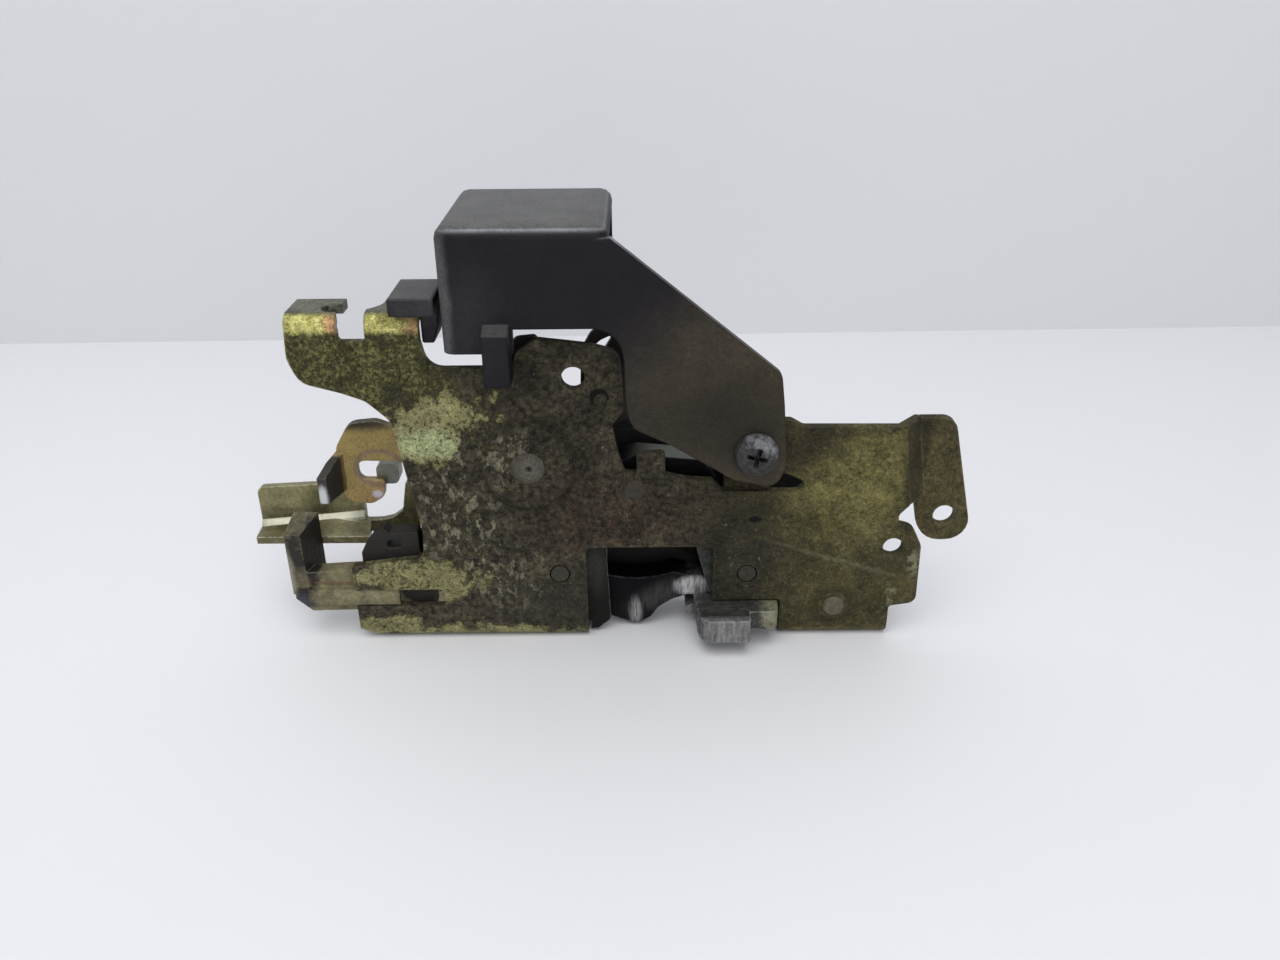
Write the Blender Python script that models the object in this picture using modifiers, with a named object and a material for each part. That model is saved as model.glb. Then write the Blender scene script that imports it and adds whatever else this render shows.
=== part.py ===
"""Car door lock standing on its bottom flange, X to the right, Y to the back, Z up.

Sizes below are in millimetres and are turned into metres by the helpers.
The lock plate's front face is the plane Y = 0 before the shift to the origin.
"""
import math

import bmesh
import bpy
from mathutils import Matrix, Vector

MM = 0.001
# middle of the whole lock seen from above, taken off every position
ORIGIN = (-7.5, 13.1, 0.0)

# sheet and clearances
PLATE_T = 2.0
FIT = 0.3
BEND_OUT = 3.0
BEND_IN = 1.0

# layers from the front to the back
GUIDE_FRONT = PLATE_T + FIT
GUIDE_BACK = 4.0
CLAW_FRONT = GUIDE_BACK + FIT
CLAW_BACK = 10.6
PAWL_BACK = 9.6
OUTSIDE_FRONT = 11.0
LEVER_T = 1.8
RELEASE_FRONT = OUTSIDE_FRONT + LEVER_T + FIT
INSIDE_FRONT = RELEASE_FRONT + LEVER_T + FIT
INSIDE_BACK = INSIDE_FRONT + LEVER_T
CASE_FRONT = RELEASE_FRONT + LEVER_T + FIT
CASE_BACK = CASE_FRONT + 2.0
BACK_PLATE_FRONT = CASE_BACK + FIT
BACK_PLATE_BACK = BACK_PLATE_FRONT + PLATE_T

# pivots and fixings, as X and Z
CLAW_PIVOT = (-1.0, 37.3)
PAWL_PIVOT = (43.0, 7.8)
PAWL_STUD = (12.5, 4.4)
MAIN_PIVOT = (-23.4, 42.9)
LOCK_PIVOT = (-40.0, 30.0)
SLIDE_PIN = (-48.0, 15.0)
SCREW_AT = (23.9, 46.9)
GUIDE_PINS = ((-17.8, 16.5), (23.4, 16.2))

# end of the release lever's arm, which presses the pawl's stud down
RELEASE_NOSE = (18.3, 12.2)
RELEASE_NOSE_R = 2.2

# radii of the turned pieces
CLAW_PIN_R = 2.6
CLAW_PIN_END_R = 1.6
PAWL_PIN_R = 3.2
PAWL_PIN_END_R = 1.9
PAWL_STUD_R = 1.1
MAIN_STUD_R = 3.0
MAIN_STUD_END_R = 2.8
MAIN_SPACER_R = 3.4
LOCK_STUD_R = 2.0
GUIDE_PIN_R = 2.0
SLIDE_PIN_R = 1.5
SCREW_R = 2.4

# lock plate
PLATE_LEFT = -70.2
PLATE_RIGHT = 54.6
EAR_TOP = 51.2
EAR_RIGHT = 73.2
LOBE_TOP = 70.8
FOOT_LEFT = -63.4
FOOT_RIGHT = 55.4
PLATE_TOP = 76.0
PLATE_RISE = 72.8
FLANGE_DEPTH = 22.0
FLANGE_RISE = 3.2
TAB_DEPTH = 11.6
THROAT_LEFT = -11.9
THROAT_RIGHT = 15.9
THROAT_TOP = 23.2
NOTCH_TOP = 9.5
NOTCH_RIGHT = 31.0
SLOT_LOW = 8.4
SLOT_HIGH = 12.8
JOGGLE = 4.6
EMBOSS_R = 10.2
EMBOSS_H = 0.7

# hood
HOOD_WALL = 2.0
HOOD_FRONT = -2.8
HOOD_BACK = 34.4
HOOD_LEFT = -38.5
HOOD_RIGHT = -5.5
HOOD_TOP = 93.6
HOOD_LOW = 68.8
HOOD_ROUND = 2.4
HOOD_UNDERSIDE = 73.8
HOOD_LIP = 3.0

# inside lever
BAR_LEFT = -87.0
BAR_RIGHT = -63.1
BAR_LOW = 19.2
BAR_FRONT = 9.8


def point(x, y, z):
    """A position in metres from millimetres, measured from the shared origin."""
    return Vector((x - ORIGIN[0], y - ORIGIN[1], z - ORIGIN[2])) * MM


def make_material(name, colour, roughness, metallic):
    material = bpy.data.materials.new(name)
    material.use_nodes = True
    shader = material.node_tree.nodes["Principled BSDF"]
    shader.inputs["Base Color"].default_value = (*colour, 1.0)
    shader.inputs["Roughness"].default_value = roughness
    shader.inputs["Metallic"].default_value = metallic
    return material


def rounded(corners):
    """Turns corners of (x, y, radius) into points, with an arc at each rounded corner."""
    points = []
    count = len(corners)
    for index, corner in enumerate(corners):
        here = Vector(corner[:2])
        radius = corner[2] if len(corner) > 2 else 0.0
        before = Vector(corners[index - 1][:2]) - here
        after = Vector(corners[(index + 1) % count][:2]) - here
        turn = before.angle(after)
        if radius <= 0.0 or turn > math.radians(176):
            points.append(here)
            continue
        cut = radius / math.tan(turn / 2)
        cut = min(cut, 0.49 * before.length, 0.49 * after.length)
        radius = cut * math.tan(turn / 2)
        start = here + before.normalized() * cut
        middle = here + (before.normalized() + after.normalized()).normalized() * (
            radius / math.sin(turn / 2)
        )
        sweep = math.pi - turn
        steps = max(2, math.ceil(math.degrees(sweep) / 18))
        cross = before.x * after.y - before.y * after.x
        side = 1.0 if cross < 0 else -1.0
        arm = start - middle
        for step in range(steps + 1):
            spin = Matrix.Rotation(side * sweep * step / steps, 2)
            points.append(middle + spin @ arm)
    return points


def circle(x, y, radius, steps=24):
    return [
        Vector((x + radius * math.cos(a), y + radius * math.sin(a)))
        for a in (2 * math.pi * i / steps for i in range(steps))
    ]


def around(centre, radius, degrees, corner=0.0):
    """A corner at a distance and angle from a pivot."""
    a = math.radians(degrees)
    return (centre[0] + radius * math.cos(a), centre[1] + radius * math.sin(a), corner)


def arc(centre, radius, start, end, steps):
    return [
        around(centre, radius, start + (end - start) * i / steps) for i in range(steps + 1)
    ]


TURNS = {
    "XZ": Matrix(((1, 0, 0), (0, 0, -1), (0, 1, 0))).to_4x4(),
    "YZ": Matrix(((0, 0, 1), (1, 0, 0), (0, 1, 0))).to_4x4(),
    "XY": Matrix.Identity(4),
}


def add_object(name, mesh, material, pivot=(0.0, 0.0, 0.0)):
    """Adds a mesh given in millimetres, with the object's origin on the pivot."""
    place = Matrix.Scale(MM, 4) @ Matrix.Translation(-Vector(pivot))
    mesh.transform(place)
    mesh.materials.clear()
    mesh.materials.append(material)
    item = bpy.data.objects.new(name, mesh)
    item.location = point(*pivot)
    lock_parts.objects.link(item)
    return item


def flat(name, corners, plane, low, high, material, holes=(), pivot=(0.0, 0.0, 0.0)):
    """Sheet cut to an outline and given its thickness along the third axis."""
    curve = bpy.data.curves.new(name, "CURVE")
    curve.dimensions = "2D"
    curve.fill_mode = "BOTH"
    curve.extrude = (high - low) / 2
    for loop in [rounded(corners)] + list(holes):
        spline = curve.splines.new("POLY")
        spline.points.add(len(loop) - 1)
        for spot, where in zip(spline.points, loop):
            spot.co = (where[0], where[1], 0.0, 1.0)
        spline.use_cyclic_u = True
    holder = bpy.data.objects.new(name + "_outline", curve)
    bpy.context.scene.collection.objects.link(holder)
    graph = bpy.context.evaluated_depsgraph_get()
    mesh = bpy.data.meshes.new_from_object(holder.evaluated_get(graph))
    bpy.data.objects.remove(holder)
    shift = {"XZ": (0, (low + high) / 2, 0), "YZ": ((low + high) / 2, 0, 0)}
    offset = Vector(shift.get(plane, (0, 0, (low + high) / 2)))
    mesh.transform(Matrix.Translation(offset) @ TURNS[plane])
    weld(mesh)
    return add_object(name, mesh, material, pivot)


def weld(mesh):
    work = bmesh.new()
    work.from_mesh(mesh)
    bmesh.ops.remove_doubles(work, verts=work.verts, dist=0.005)
    bmesh.ops.recalc_face_normals(work, faces=work.faces)
    work.to_mesh(mesh)
    work.free()


def wrapped(name, corners, material, pivot=(0.0, 0.0, 0.0)):
    """Convex solid stretched over its corner points."""
    mesh = bpy.data.meshes.new(name)
    work = bmesh.new()
    for corner in corners:
        work.verts.new(corner)
    bmesh.ops.convex_hull(work, input=work.verts)
    loose = [v for v in work.verts if not v.link_faces]
    bmesh.ops.delete(work, geom=loose, context="VERTS")
    flat_limit = math.radians(1)
    bmesh.ops.dissolve_limit(work, angle_limit=flat_limit, verts=work.verts, edges=work.edges)
    bmesh.ops.recalc_face_normals(work, faces=work.faces)
    work.to_mesh(mesh)
    work.free()
    return add_object(name, mesh, material, pivot)


def block(name, low, high, material, pivot=(0.0, 0.0, 0.0)):
    corners = [
        (x, y, z) for x in (low[0], high[0]) for y in (low[1], high[1]) for z in (low[2], high[2])
    ]
    return wrapped(name, corners, material, pivot)


def turned(name, at, profile, material, steps=28):
    """Turned piece along Y: the profile lists (radius, y) from the front end to the back end."""
    mesh = bpy.data.meshes.new(name)
    work = bmesh.new()
    ring = [(0.0, profile[0][1])] + list(profile) + [(0.0, profile[-1][1])]
    spots = [work.verts.new((radius, 0.0, -y)) for radius, y in ring]
    for first, second in zip(spots, spots[1:]):
        work.edges.new((first, second))
    work.to_mesh(mesh)
    work.free()
    mesh.transform(Matrix.Scale(MM, 4))
    mesh.materials.append(material)
    item = bpy.data.objects.new(name, mesh)
    item.location = point(at[0], 0.0, at[1])
    item.rotation_euler = (math.radians(90), 0.0, 0.0)
    lock_parts.objects.link(item)
    screw = item.modifiers.new("turn", "SCREW")
    screw.axis = "Z"
    screw.angle = math.radians(360)
    screw.steps = steps
    screw.render_steps = steps
    screw.use_merge_vertices = True
    screw.merge_threshold = 0.00001
    screw.use_smooth_shade = True
    return item


def coil(name, at, radius, front, back, turns, wire, start, legs, material):
    """Wire spring wound round Y with a straight leg at each end."""
    curve = bpy.data.curves.new(name, "CURVE")
    curve.dimensions = "3D"
    curve.bevel_depth = wire
    curve.bevel_resolution = 2
    curve.use_fill_caps = True
    count = int(turns * 18)
    spots = []
    for index in range(count + 1):
        a = math.radians(start) + 2 * math.pi * turns * index / count
        y = front + (back - front) * index / count
        spots.append(Vector((at[0] + radius * math.cos(a), y, at[1] + radius * math.sin(a))))
    first = (spots[0] - spots[1]).normalized() * legs[0]
    last = (spots[-1] - spots[-2]).normalized() * legs[1]
    first.y = 0.0
    last.y = 0.0
    spots = [spots[0] + first] + spots + [spots[-1] + last]
    spline = curve.splines.new("POLY")
    spline.points.add(len(spots) - 1)
    for spot, where in zip(spline.points, spots):
        spot.co = (where.x, where.y, where.z, 1.0)
    holder = bpy.data.objects.new(name + "_wire", curve)
    bpy.context.scene.collection.objects.link(holder)
    graph = bpy.context.evaluated_depsgraph_get()
    mesh = bpy.data.meshes.new_from_object(holder.evaluated_get(graph))
    bpy.data.objects.remove(holder)
    weld(mesh)
    item = add_object(name, mesh, material)
    smooth(item)
    return item


def smooth(item, limit=35):
    item.data.shade_smooth()
    item.data.set_sharp_from_angle(angle=math.radians(limit))


def combine(item, other, operation="UNION", solver="EXACT"):
    """Adds or cuts one piece with another, which then serves only as a tool."""
    lock_parts.objects.unlink(other)
    cutters.objects.link(other)
    other.hide_render = True
    other.display_type = "WIRE"
    step = item.modifiers.new(other.name, "BOOLEAN")
    step.operation = operation
    step.solver = solver
    step.object = other


def cut(item, other):
    combine(item, other, "DIFFERENCE")


def soften(item, width, segments=2, limit=40):
    edge = item.modifiers.new("edges", "BEVEL")
    edge.width = width * MM
    edge.segments = segments
    edge.limit_method = "ANGLE"
    edge.angle_limit = math.radians(limit)
    edge.harden_normals = False


for item in list(bpy.data.objects):
    bpy.data.objects.remove(item)

lock_parts = bpy.data.collections.new("car_door_lock")
cutters = bpy.data.collections.new("cutters")
bpy.context.scene.collection.children.link(lock_parts)
bpy.context.scene.collection.children.link(cutters)

chromate = make_material("olive_chromate", (0.34, 0.30, 0.16), 0.5, 0.7)
gold_chromate = make_material("gold_chromate", (0.62, 0.42, 0.18), 0.35, 0.8)
dark_steel = make_material("dark_steel", (0.10, 0.10, 0.11), 0.45, 0.8)
bare_steel = make_material("bare_steel", (0.42, 0.42, 0.43), 0.35, 0.9)
zinc = make_material("grey_zinc", (0.35, 0.35, 0.36), 0.5, 0.8)
spring_steel = make_material("spring_steel", (0.30, 0.30, 0.31), 0.3, 0.9)
black_plastic = make_material("black_plastic", (0.035, 0.033, 0.038), 0.55, 0.0)
brown_nylon = make_material("stained_nylon", (0.36, 0.31, 0.23), 0.6, 0.0)
white_nylon = make_material("white_nylon", (0.75, 0.76, 0.76), 0.4, 0.0)


def make_lock_plate():
    """Stamped lock plate with bent flanges, cable tabs, joggled ear and raised disc."""
    outline = [
        (FOOT_LEFT, FLANGE_RISE), (FOOT_LEFT, SLOT_LOW),
        (-43.6, SLOT_LOW, 1.0), (-43.6, SLOT_HIGH, 1.0), (FOOT_LEFT, SLOT_HIGH),
        (FOOT_LEFT, 18.7, 0.8), (-47.4, 20.8, 2.2), (-46.9, 27.5), (-47.7, 32.5),
        (-48.8, 39.5), (-49.4, 43.5), (-50.0, 48.0), (-51.0, 53.6, 4.0),
        (-55.6, 58.0, 4.0), (-60.4, 59.8), (-68.2, 62.0, 4.0), (PLATE_LEFT, 67.0, 5.0),
        (-69.8, PLATE_RISE), (-59.6, PLATE_RISE), (-59.6, 70.6, 0.7), (-54.0, 70.6, 0.7),
        (-54.0, PLATE_RISE), (-43.4, PLATE_RISE), (-43.5, 71.0), (-42.3, 64.8, 6.0),
        (-25.4, 64.8, 1.0), (-24.6, 67.6, 1.0), (-20.6, LOBE_TOP, 1.8), (-9.4, 69.4, 2.0),
        (-3.9, 67.9, 3.4), (-3.4, 60.0), (-3.2, 55.4, 0.8), (-5.7, 52.2, 1.0),
        (-4.6, 46.0), (-3.2, 41.2, 0.7), (-0.7, 40.9), (-0.7, 45.5, 0.5),
        (5.3, 45.8, 1.0), (5.3, 40.7), (9.6, 39.6), (15.2, 39.2),
        (17.4, 36.6, 0.8), (33.2, 36.5, 1.2), (35.5, 38.4, 1.2), (31.6, 40.5, 2.0),
        (29.9, 41.0, 0.6), (29.6, 53.0, 0.6), (31.3, 52.9, 1.0), (33.8, 51.4, 1.5),
        (PLATE_RIGHT, EAR_TOP),
        (57.6, 33.0, 0.6), (55.4, 30.6, 1.4), (55.6, 28.4, 1.0), (58.8, 27.6, 3.0),
        (61.0, 23.0, 3.0), (61.3, 8.4, 2.0), (FOOT_RIGHT, 7.5, 0.8), (FOOT_RIGHT, FLANGE_RISE),
        (NOTCH_RIGHT, FLANGE_RISE), (NOTCH_RIGHT, NOTCH_TOP, 0.8),
        (THROAT_RIGHT, NOTCH_TOP), (THROAT_RIGHT, THROAT_TOP, 1.2),
        (THROAT_LEFT, THROAT_TOP, 1.2), (THROAT_LEFT, FLANGE_RISE),
    ]
    holes = [
        circle(-13.3, 62.6, 2.4),
        circle(*CLAW_PIVOT, CLAW_PIN_END_R + FIT, 16),
        circle(*PAWL_PIVOT, PAWL_PIN_END_R + FIT, 20),
        circle(54.9, 22.7, 2.2, 20),
    ]
    holes += [circle(x, z, GUIDE_PIN_R + FIT, 20) for x, z in GUIDE_PINS]
    plate = flat("lock_plate", outline, "XZ", 0.0, PLATE_T, chromate, holes)

    foot = [
        (0.0, 5.0), (0.0, 0.0, BEND_OUT), (FLANGE_DEPTH, 0.0, 0.3),
        (FLANGE_DEPTH, PLATE_T, 0.3), (PLATE_T, PLATE_T, BEND_IN), (PLATE_T, 5.0),
    ]
    combine(plate, flat("foot_left", foot, "YZ", FOOT_LEFT, THROAT_LEFT, chromate))
    combine(plate, flat("foot_right", foot, "YZ", NOTCH_RIGHT, FOOT_RIGHT, chromate))
    corner = [(FOOT_LEFT - 3.0, 2.8), (FOOT_LEFT - 3.0, -1.0), (-56.4, -1.0), (FOOT_LEFT - 0.1, 2.8)]
    cut(plate, flat("foot_corner", corner, "XZ", -1.0, FLANGE_DEPTH + 1.0, chromate))
    low = PLATE_TOP - PLATE_T
    tab = [
        (0.0, PLATE_RISE - 2.6), (0.0, PLATE_TOP, BEND_OUT), (TAB_DEPTH, PLATE_TOP, 0.3),
        (TAB_DEPTH, low, 0.3), (PLATE_T, low, BEND_IN), (PLATE_T, PLATE_RISE - 2.6),
    ]
    left_tab = flat("tab_left", tab, "YZ", -69.8, -59.7, chromate)
    bite = flat("tab_bite", [(-63.2, 2.6, 2.4), (-58.0, 2.6), (-58.0, 7.6), (-63.2, 7.6, 2.4)],
                "XY", 68.0, 80.0, chromate)
    cut(left_tab, bite)
    combine(plate, left_tab)
    right_tab = flat("tab_right", tab, "YZ", -54.0, -43.4, chromate)
    sweep = flat("tab_sweep", [(-56.0, 4.0), (-53.99, 4.0, 2.0), (-51.6, 7.0, 3.0),
                               (-51.0, 13.0), (-56.0, 13.0)], "XY", 68.0, 80.0, chromate)
    cut(right_tab, sweep)
    combine(plate, right_tab)

    ear = [
        (59.0, EAR_TOP), (66.4, EAR_TOP, 3.2), (EAR_RIGHT, 22.0, 5.3), (61.7, 21.8, 5.3),
        (59.4, 33.2),
    ]
    ear_hole = [circle(66.5, 28.0, 2.4)]
    ear_plate = flat("ear", ear, "XZ", JOGGLE, JOGGLE + PLATE_T, chromate, ear_hole)
    corners = []
    for z, x in ((EAR_TOP, PLATE_RIGHT), (33.2, 57.4)):
        for dx, y in ((-0.9, 0.0), (-0.9, PLATE_T), (4.2, JOGGLE), (4.2, JOGGLE + PLATE_T),
                      (0.3, 0.0), (3.4, JOGGLE + PLATE_T)):
            corners.append((x + dx, y, z))
    combine(ear_plate, wrapped("joggle", corners, chromate))
    combine(plate, ear_plate)

    lug = [(17.8, 35.0), (17.8, 52.0, 4.6), (27.6, 52.0, 4.6), (27.6, 35.0)]
    lug_hole = [circle(*SCREW_AT, SCREW_R + FIT, 20)]
    combine(plate, flat("lug", lug, "XZ", 1.4, 3.4, chromate, lug_hole))

    disc = turned("disc", MAIN_PIVOT, [(EMBOSS_R - 0.9, -EMBOSS_H), (EMBOSS_R, 0.5),
                                       (EMBOSS_R - 2.0, 1.0)], chromate, 40)
    combine(plate, disc)
    dish = turned("dish", MAIN_PIVOT, [(EMBOSS_R - 2.9, PLATE_T - EMBOSS_H),
                                       (EMBOSS_R - 2.0, PLATE_T + 0.5)], chromate, 40)
    cut(plate, dish)
    bore = turned("stud_bore", MAIN_PIVOT, [(MAIN_STUD_END_R + FIT, -3.0),
                                            (MAIN_STUD_END_R + FIT, 5.0)], chromate, 24)
    cut(plate, bore)
    return plate


def make_guide():
    """Flat guide behind the plate whose narrowing gap leads the striker in."""
    outline = [
        (-23.0, 2.6, 1.5), (-11.3, 2.6), (-11.3, 0.6), (-9.8, 0.6), (-6.8, 3.2, 1.0),
        (-7.4, 17.0), (-7.4, 24.2, 1.5), (12.0, 24.2, 1.5), (12.4, 21.0), (15.4, 9.9),
        (28.0, 9.9, 2.0), (28.0, 30.0, 4.0), (-23.0, 30.0, 4.0),
    ]
    holes = [circle(x, z, GUIDE_PIN_R + FIT, 20) for x, z in GUIDE_PINS]
    return flat("striker_guide", outline, "XZ", GUIDE_FRONT, GUIDE_BACK, zinc, holes)


def make_claw():
    """Forked claw in the shut position, with its nose low in the throat."""
    outline = [
        around(CLAW_PIVOT, 6.2, 90, 2.0), (13.5, 42.0, 3.0), (18.2, 35.0, 3.0),
        (17.2, 28.5, 1.5), (12.6, 26.6, 1.2),
    ]
    outline += arc(CLAW_PIVOT, 13.6, -42, -116, 7)
    outline += [around(CLAW_PIVOT, 16.0, -124, 1.5), around(CLAW_PIVOT, 22.0, -122, 1.5)]
    outline += arc(CLAW_PIVOT, 24.6, -116, -70, 5)
    outline += [
        (10.5, 13.4, 2.0), (14.2, 13.4, 1.5), (16.3, 10.0, 1.0), (14.6, 7.9, 0.8),
        (10.6, 8.3), (7.0, 7.0), (4.0, 5.0, 1.5), (2.2, 2.4, 1.0), (-0.2, 0.8, 0.7),
        (-1.8, 0.8, 0.7), (-6.5, 2.6, 1.5), (-13.5, 7.6, 3.0),
        around(CLAW_PIVOT, 31.0, -129, 4.0), around(CLAW_PIVOT, 28.0, -139, 3.0),
        around(CLAW_PIVOT, 19.5, -139.5), around(CLAW_PIVOT, 9.0, -160, 4.0),
        around(CLAW_PIVOT, 6.6, 150, 3.0),
    ]
    hole = [circle(*CLAW_PIVOT, CLAW_PIN_R + FIT)]
    pivot = (CLAW_PIVOT[0], 0.0, CLAW_PIVOT[1])
    claw = flat("claw", outline, "XZ", CLAW_FRONT, CLAW_BACK, dark_steel, hole, pivot)
    soften(claw, 0.7, 2)
    return claw


def make_pawl():
    """Pawl bar behind the plate with a thick tab bent forward through the notch."""
    pivot = (PAWL_PIVOT[0], 0.0, PAWL_PIVOT[1])
    outline = [
        (10.0, 4.8, 0.5), (14.2, 6.5), (18.8, 8.7, 2.0), (31.0, 9.1), (36.5, 12.0, 3.0),
    ]
    outline += arc(PAWL_PIVOT, 5.0, 100, -100, 10)
    outline += [(36.0, 3.4, 3.0), (24.0, 4.0), (14.0, 3.2), (10.6, 2.9, 0.6)]
    hole = [circle(*PAWL_PIVOT, PAWL_PIN_R + FIT)]
    pawl = flat("pawl", outline, "XZ", CLAW_FRONT, PAWL_BACK, bare_steel, hole, pivot)
    tab = [(11.9, 3.3), (12.5, -4.3), (30.3, -4.3, 2.0), (30.3, 5.2), (20.4, 5.2), (20.4, 3.3)]
    tab_solid = flat("pawl_tab", tab, "XY", 4.5, 9.0, bare_steel, (), pivot)
    lip = [(12.4, -3.0), (13.0, -6.6, 1.0), (14.8, -8.2, 1.0), (23.9, -8.2, 1.2), (23.9, -3.0)]
    combine(tab_solid, flat("pawl_lip", lip, "XY", 3.6, 9.1, bare_steel, (), pivot))
    combine(pawl, tab_solid)
    soften(pawl, 0.5, 2)
    stud = block("pawl_stud", (0, 0, 0), (1, 1, 1), bare_steel, pivot)
    stud.data.clear_geometry()
    work = bmesh.new()
    reach = RELEASE_FRONT + LEVER_T - PAWL_BACK + 1.0
    middle = Vector((PAWL_STUD[0], PAWL_BACK - 1.0 + reach / 2, PAWL_STUD[1])) - Vector(pivot)
    place = Matrix.Translation(middle * MM) @ Matrix.Rotation(math.radians(90), 4, "X")
    bmesh.ops.create_cone(work, cap_ends=True, segments=20, radius1=PAWL_STUD_R * MM,
                          radius2=PAWL_STUD_R * MM, depth=reach * MM, matrix=place)
    work.to_mesh(stud.data)
    work.free()
    combine(pawl, stud)
    return pawl


def make_inside_lever():
    """Inside lever: arm on the main pivot, its end an angle with a shelf bent to the front."""
    pivot = (MAIN_PIVOT[0], 0.0, MAIN_PIVOT[1])
    outline = [
        (BAR_LEFT, BAR_LOW + 0.6), (BAR_LEFT, 30.8, 1.6), (-73.2, 31.5), (BAR_RIGHT, 32.0, 0.8),
        (BAR_RIGHT, 22.1, 0.3), (-59.5, 22.2), (-56.9, 22.8, 2.0), (-54.4, 24.7, 2.0),
        (-53.2, 31.6, 0.8), (-44.0, 39.0, 6.0),
        around(MAIN_PIVOT, 7.0, 130), around(MAIN_PIVOT, 7.0, 110),
    ]
    outline += arc(MAIN_PIVOT, 7.0, 90, -60, 8)
    outline += [(-32.0, 32.0, 4.0), (-44.0, 24.0, 5.0), (-51.6, 20.5, 3.0), (-59.6, BAR_LOW)]
    hole = [circle(*MAIN_PIVOT, MAIN_STUD_R + FIT)]
    lever = flat("inside_lever", outline, "XZ", INSIDE_FRONT, INSIDE_BACK, chromate, hole, pivot)
    middle = INSIDE_FRONT + LEVER_T / 2
    shelf = []
    for x, y, top in ((BAR_LEFT, middle, 21.5), (BAR_RIGHT, middle, 24.1), (BAR_LEFT, BAR_FRONT, 20.9),
                      (BAR_RIGHT + 1.7, BAR_FRONT, 20.9), (BAR_RIGHT + 1.7, BAR_FRONT + 2.8, 22.5)):
        shelf += [(x, y, top), (x, y, top - 1.7)]
    combine(lever, wrapped("lever_shelf", shelf, chromate, pivot))
    fillet = []
    for x, low in ((BAR_LEFT, 21.4), (BAR_RIGHT, 23.6)):
        fillet += [(x, INSIDE_FRONT - 1.1, low), (x, INSIDE_FRONT + 0.2, low + 1.4),
                   (x, INSIDE_FRONT + 0.2, low - 0.6), (x, INSIDE_FRONT - 1.1, low - 0.8)]
    combine(lever, wrapped("lever_bend", fillet, chromate, pivot))
    return lever


def make_release_lever():
    """Release lever: hooked head with a bent flange, and an arm reaching to the pawl's stud."""
    pivot = (MAIN_PIVOT[0], 0.0, MAIN_PIVOT[1])
    back = RELEASE_FRONT + LEVER_T
    outline = [
        (-52.0, 45.6, 4.0), (-57.6, 48.0, 4.0), (-63.6, 47.4, 3.5), (-67.1, 41.6, 4.0),
        (-67.1, 34.0), (-66.3, 28.2, 2.6), (-60.6, 27.6, 2.5), (-57.6, 29.4, 2.0),
        (-57.1, 33.6, 0.8), (-62.9, 33.6, 1.8), (-62.9, 38.4, 1.9), (-55.0, 38.2, 1.0),
        (-46.0, 36.8, 8.0),
        around(MAIN_PIVOT, 7.0, -125), around(MAIN_PIVOT, 7.0, -100), (-10.0, 25.5, 14.0),
    ]
    outline += arc(RELEASE_NOSE, RELEASE_NOSE_R, 215, 395, 9)
    outline += [(-4.0, 30.0, 10.0)]
    outline += arc(MAIN_PIVOT, 7.0, -5, 105, 6)
    outline += [around(MAIN_PIVOT, 7.4, 125), (-44.0, 46.5, 8.0)]
    hole = [circle(*MAIN_PIVOT, MAIN_STUD_R + FIT)]
    lever = flat("release_lever", outline, "XZ", RELEASE_FRONT, back, gold_chromate, hole, pivot)
    corners = []
    for x, y, low, high in ((-67.1, back - 0.2, 31.4, 40.6), (-70.2, 6.6, 31.0, 37.2)):
        for dx in (0.0, 1.9):
            corners.append((x + dx, y, low))
            corners.append((x + dx, y, high))
    corners += [(-68.7, 9.8, 39.4), (-66.8, 9.8, 39.4)]
    combine(lever, wrapped("lever_flange", corners, gold_chromate, pivot))
    return lever


def make_outside_lever():
    """Outside lever: a horn and an eye for its pull rod, rising from the main pivot."""
    pivot = (MAIN_PIVOT[0], 0.0, MAIN_PIVOT[1])
    outline = [
        around(MAIN_PIVOT, 7.6, 165), (-30.0, 53.0, 4.0), (-27.9, 61.0), (-26.4, 67.2, 2.0),
        (-21.3, 67.7, 1.0), (-20.2, 61.0), (-20.0, 55.5, 3.0), (-12.6, 54.0, 1.5),
        (-12.1, 64.6, 2.0), (-10.0, 68.4, 3.0), (-6.4, 69.9, 2.0), (-1.6, 69.6, 3.0),
        (0.6, 62.0, 6.0), (0.2, 49.6, 3.0), (-6.0, 47.6, 4.0), (-13.0, 46.6, 3.0),
    ]
    outline += arc(MAIN_PIVOT, 7.0, 0, -165, 10)
    eye = rounded([(-10.4, 62.4, 0.8), (-9.7, 65.2, 1.5), (-8.0, 66.7, 1.5), (-5.9, 67.7, 0.3),
                   (-5.8, 67.0, 0.3), (-8.6, 62.4, 0.8)])
    holes = [circle(*MAIN_PIVOT, MAIN_STUD_R + FIT), eye]
    return flat("outside_lever", outline, "XZ", OUTSIDE_FRONT, OUTSIDE_FRONT + LEVER_T, dark_steel,
                holes, pivot)


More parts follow.
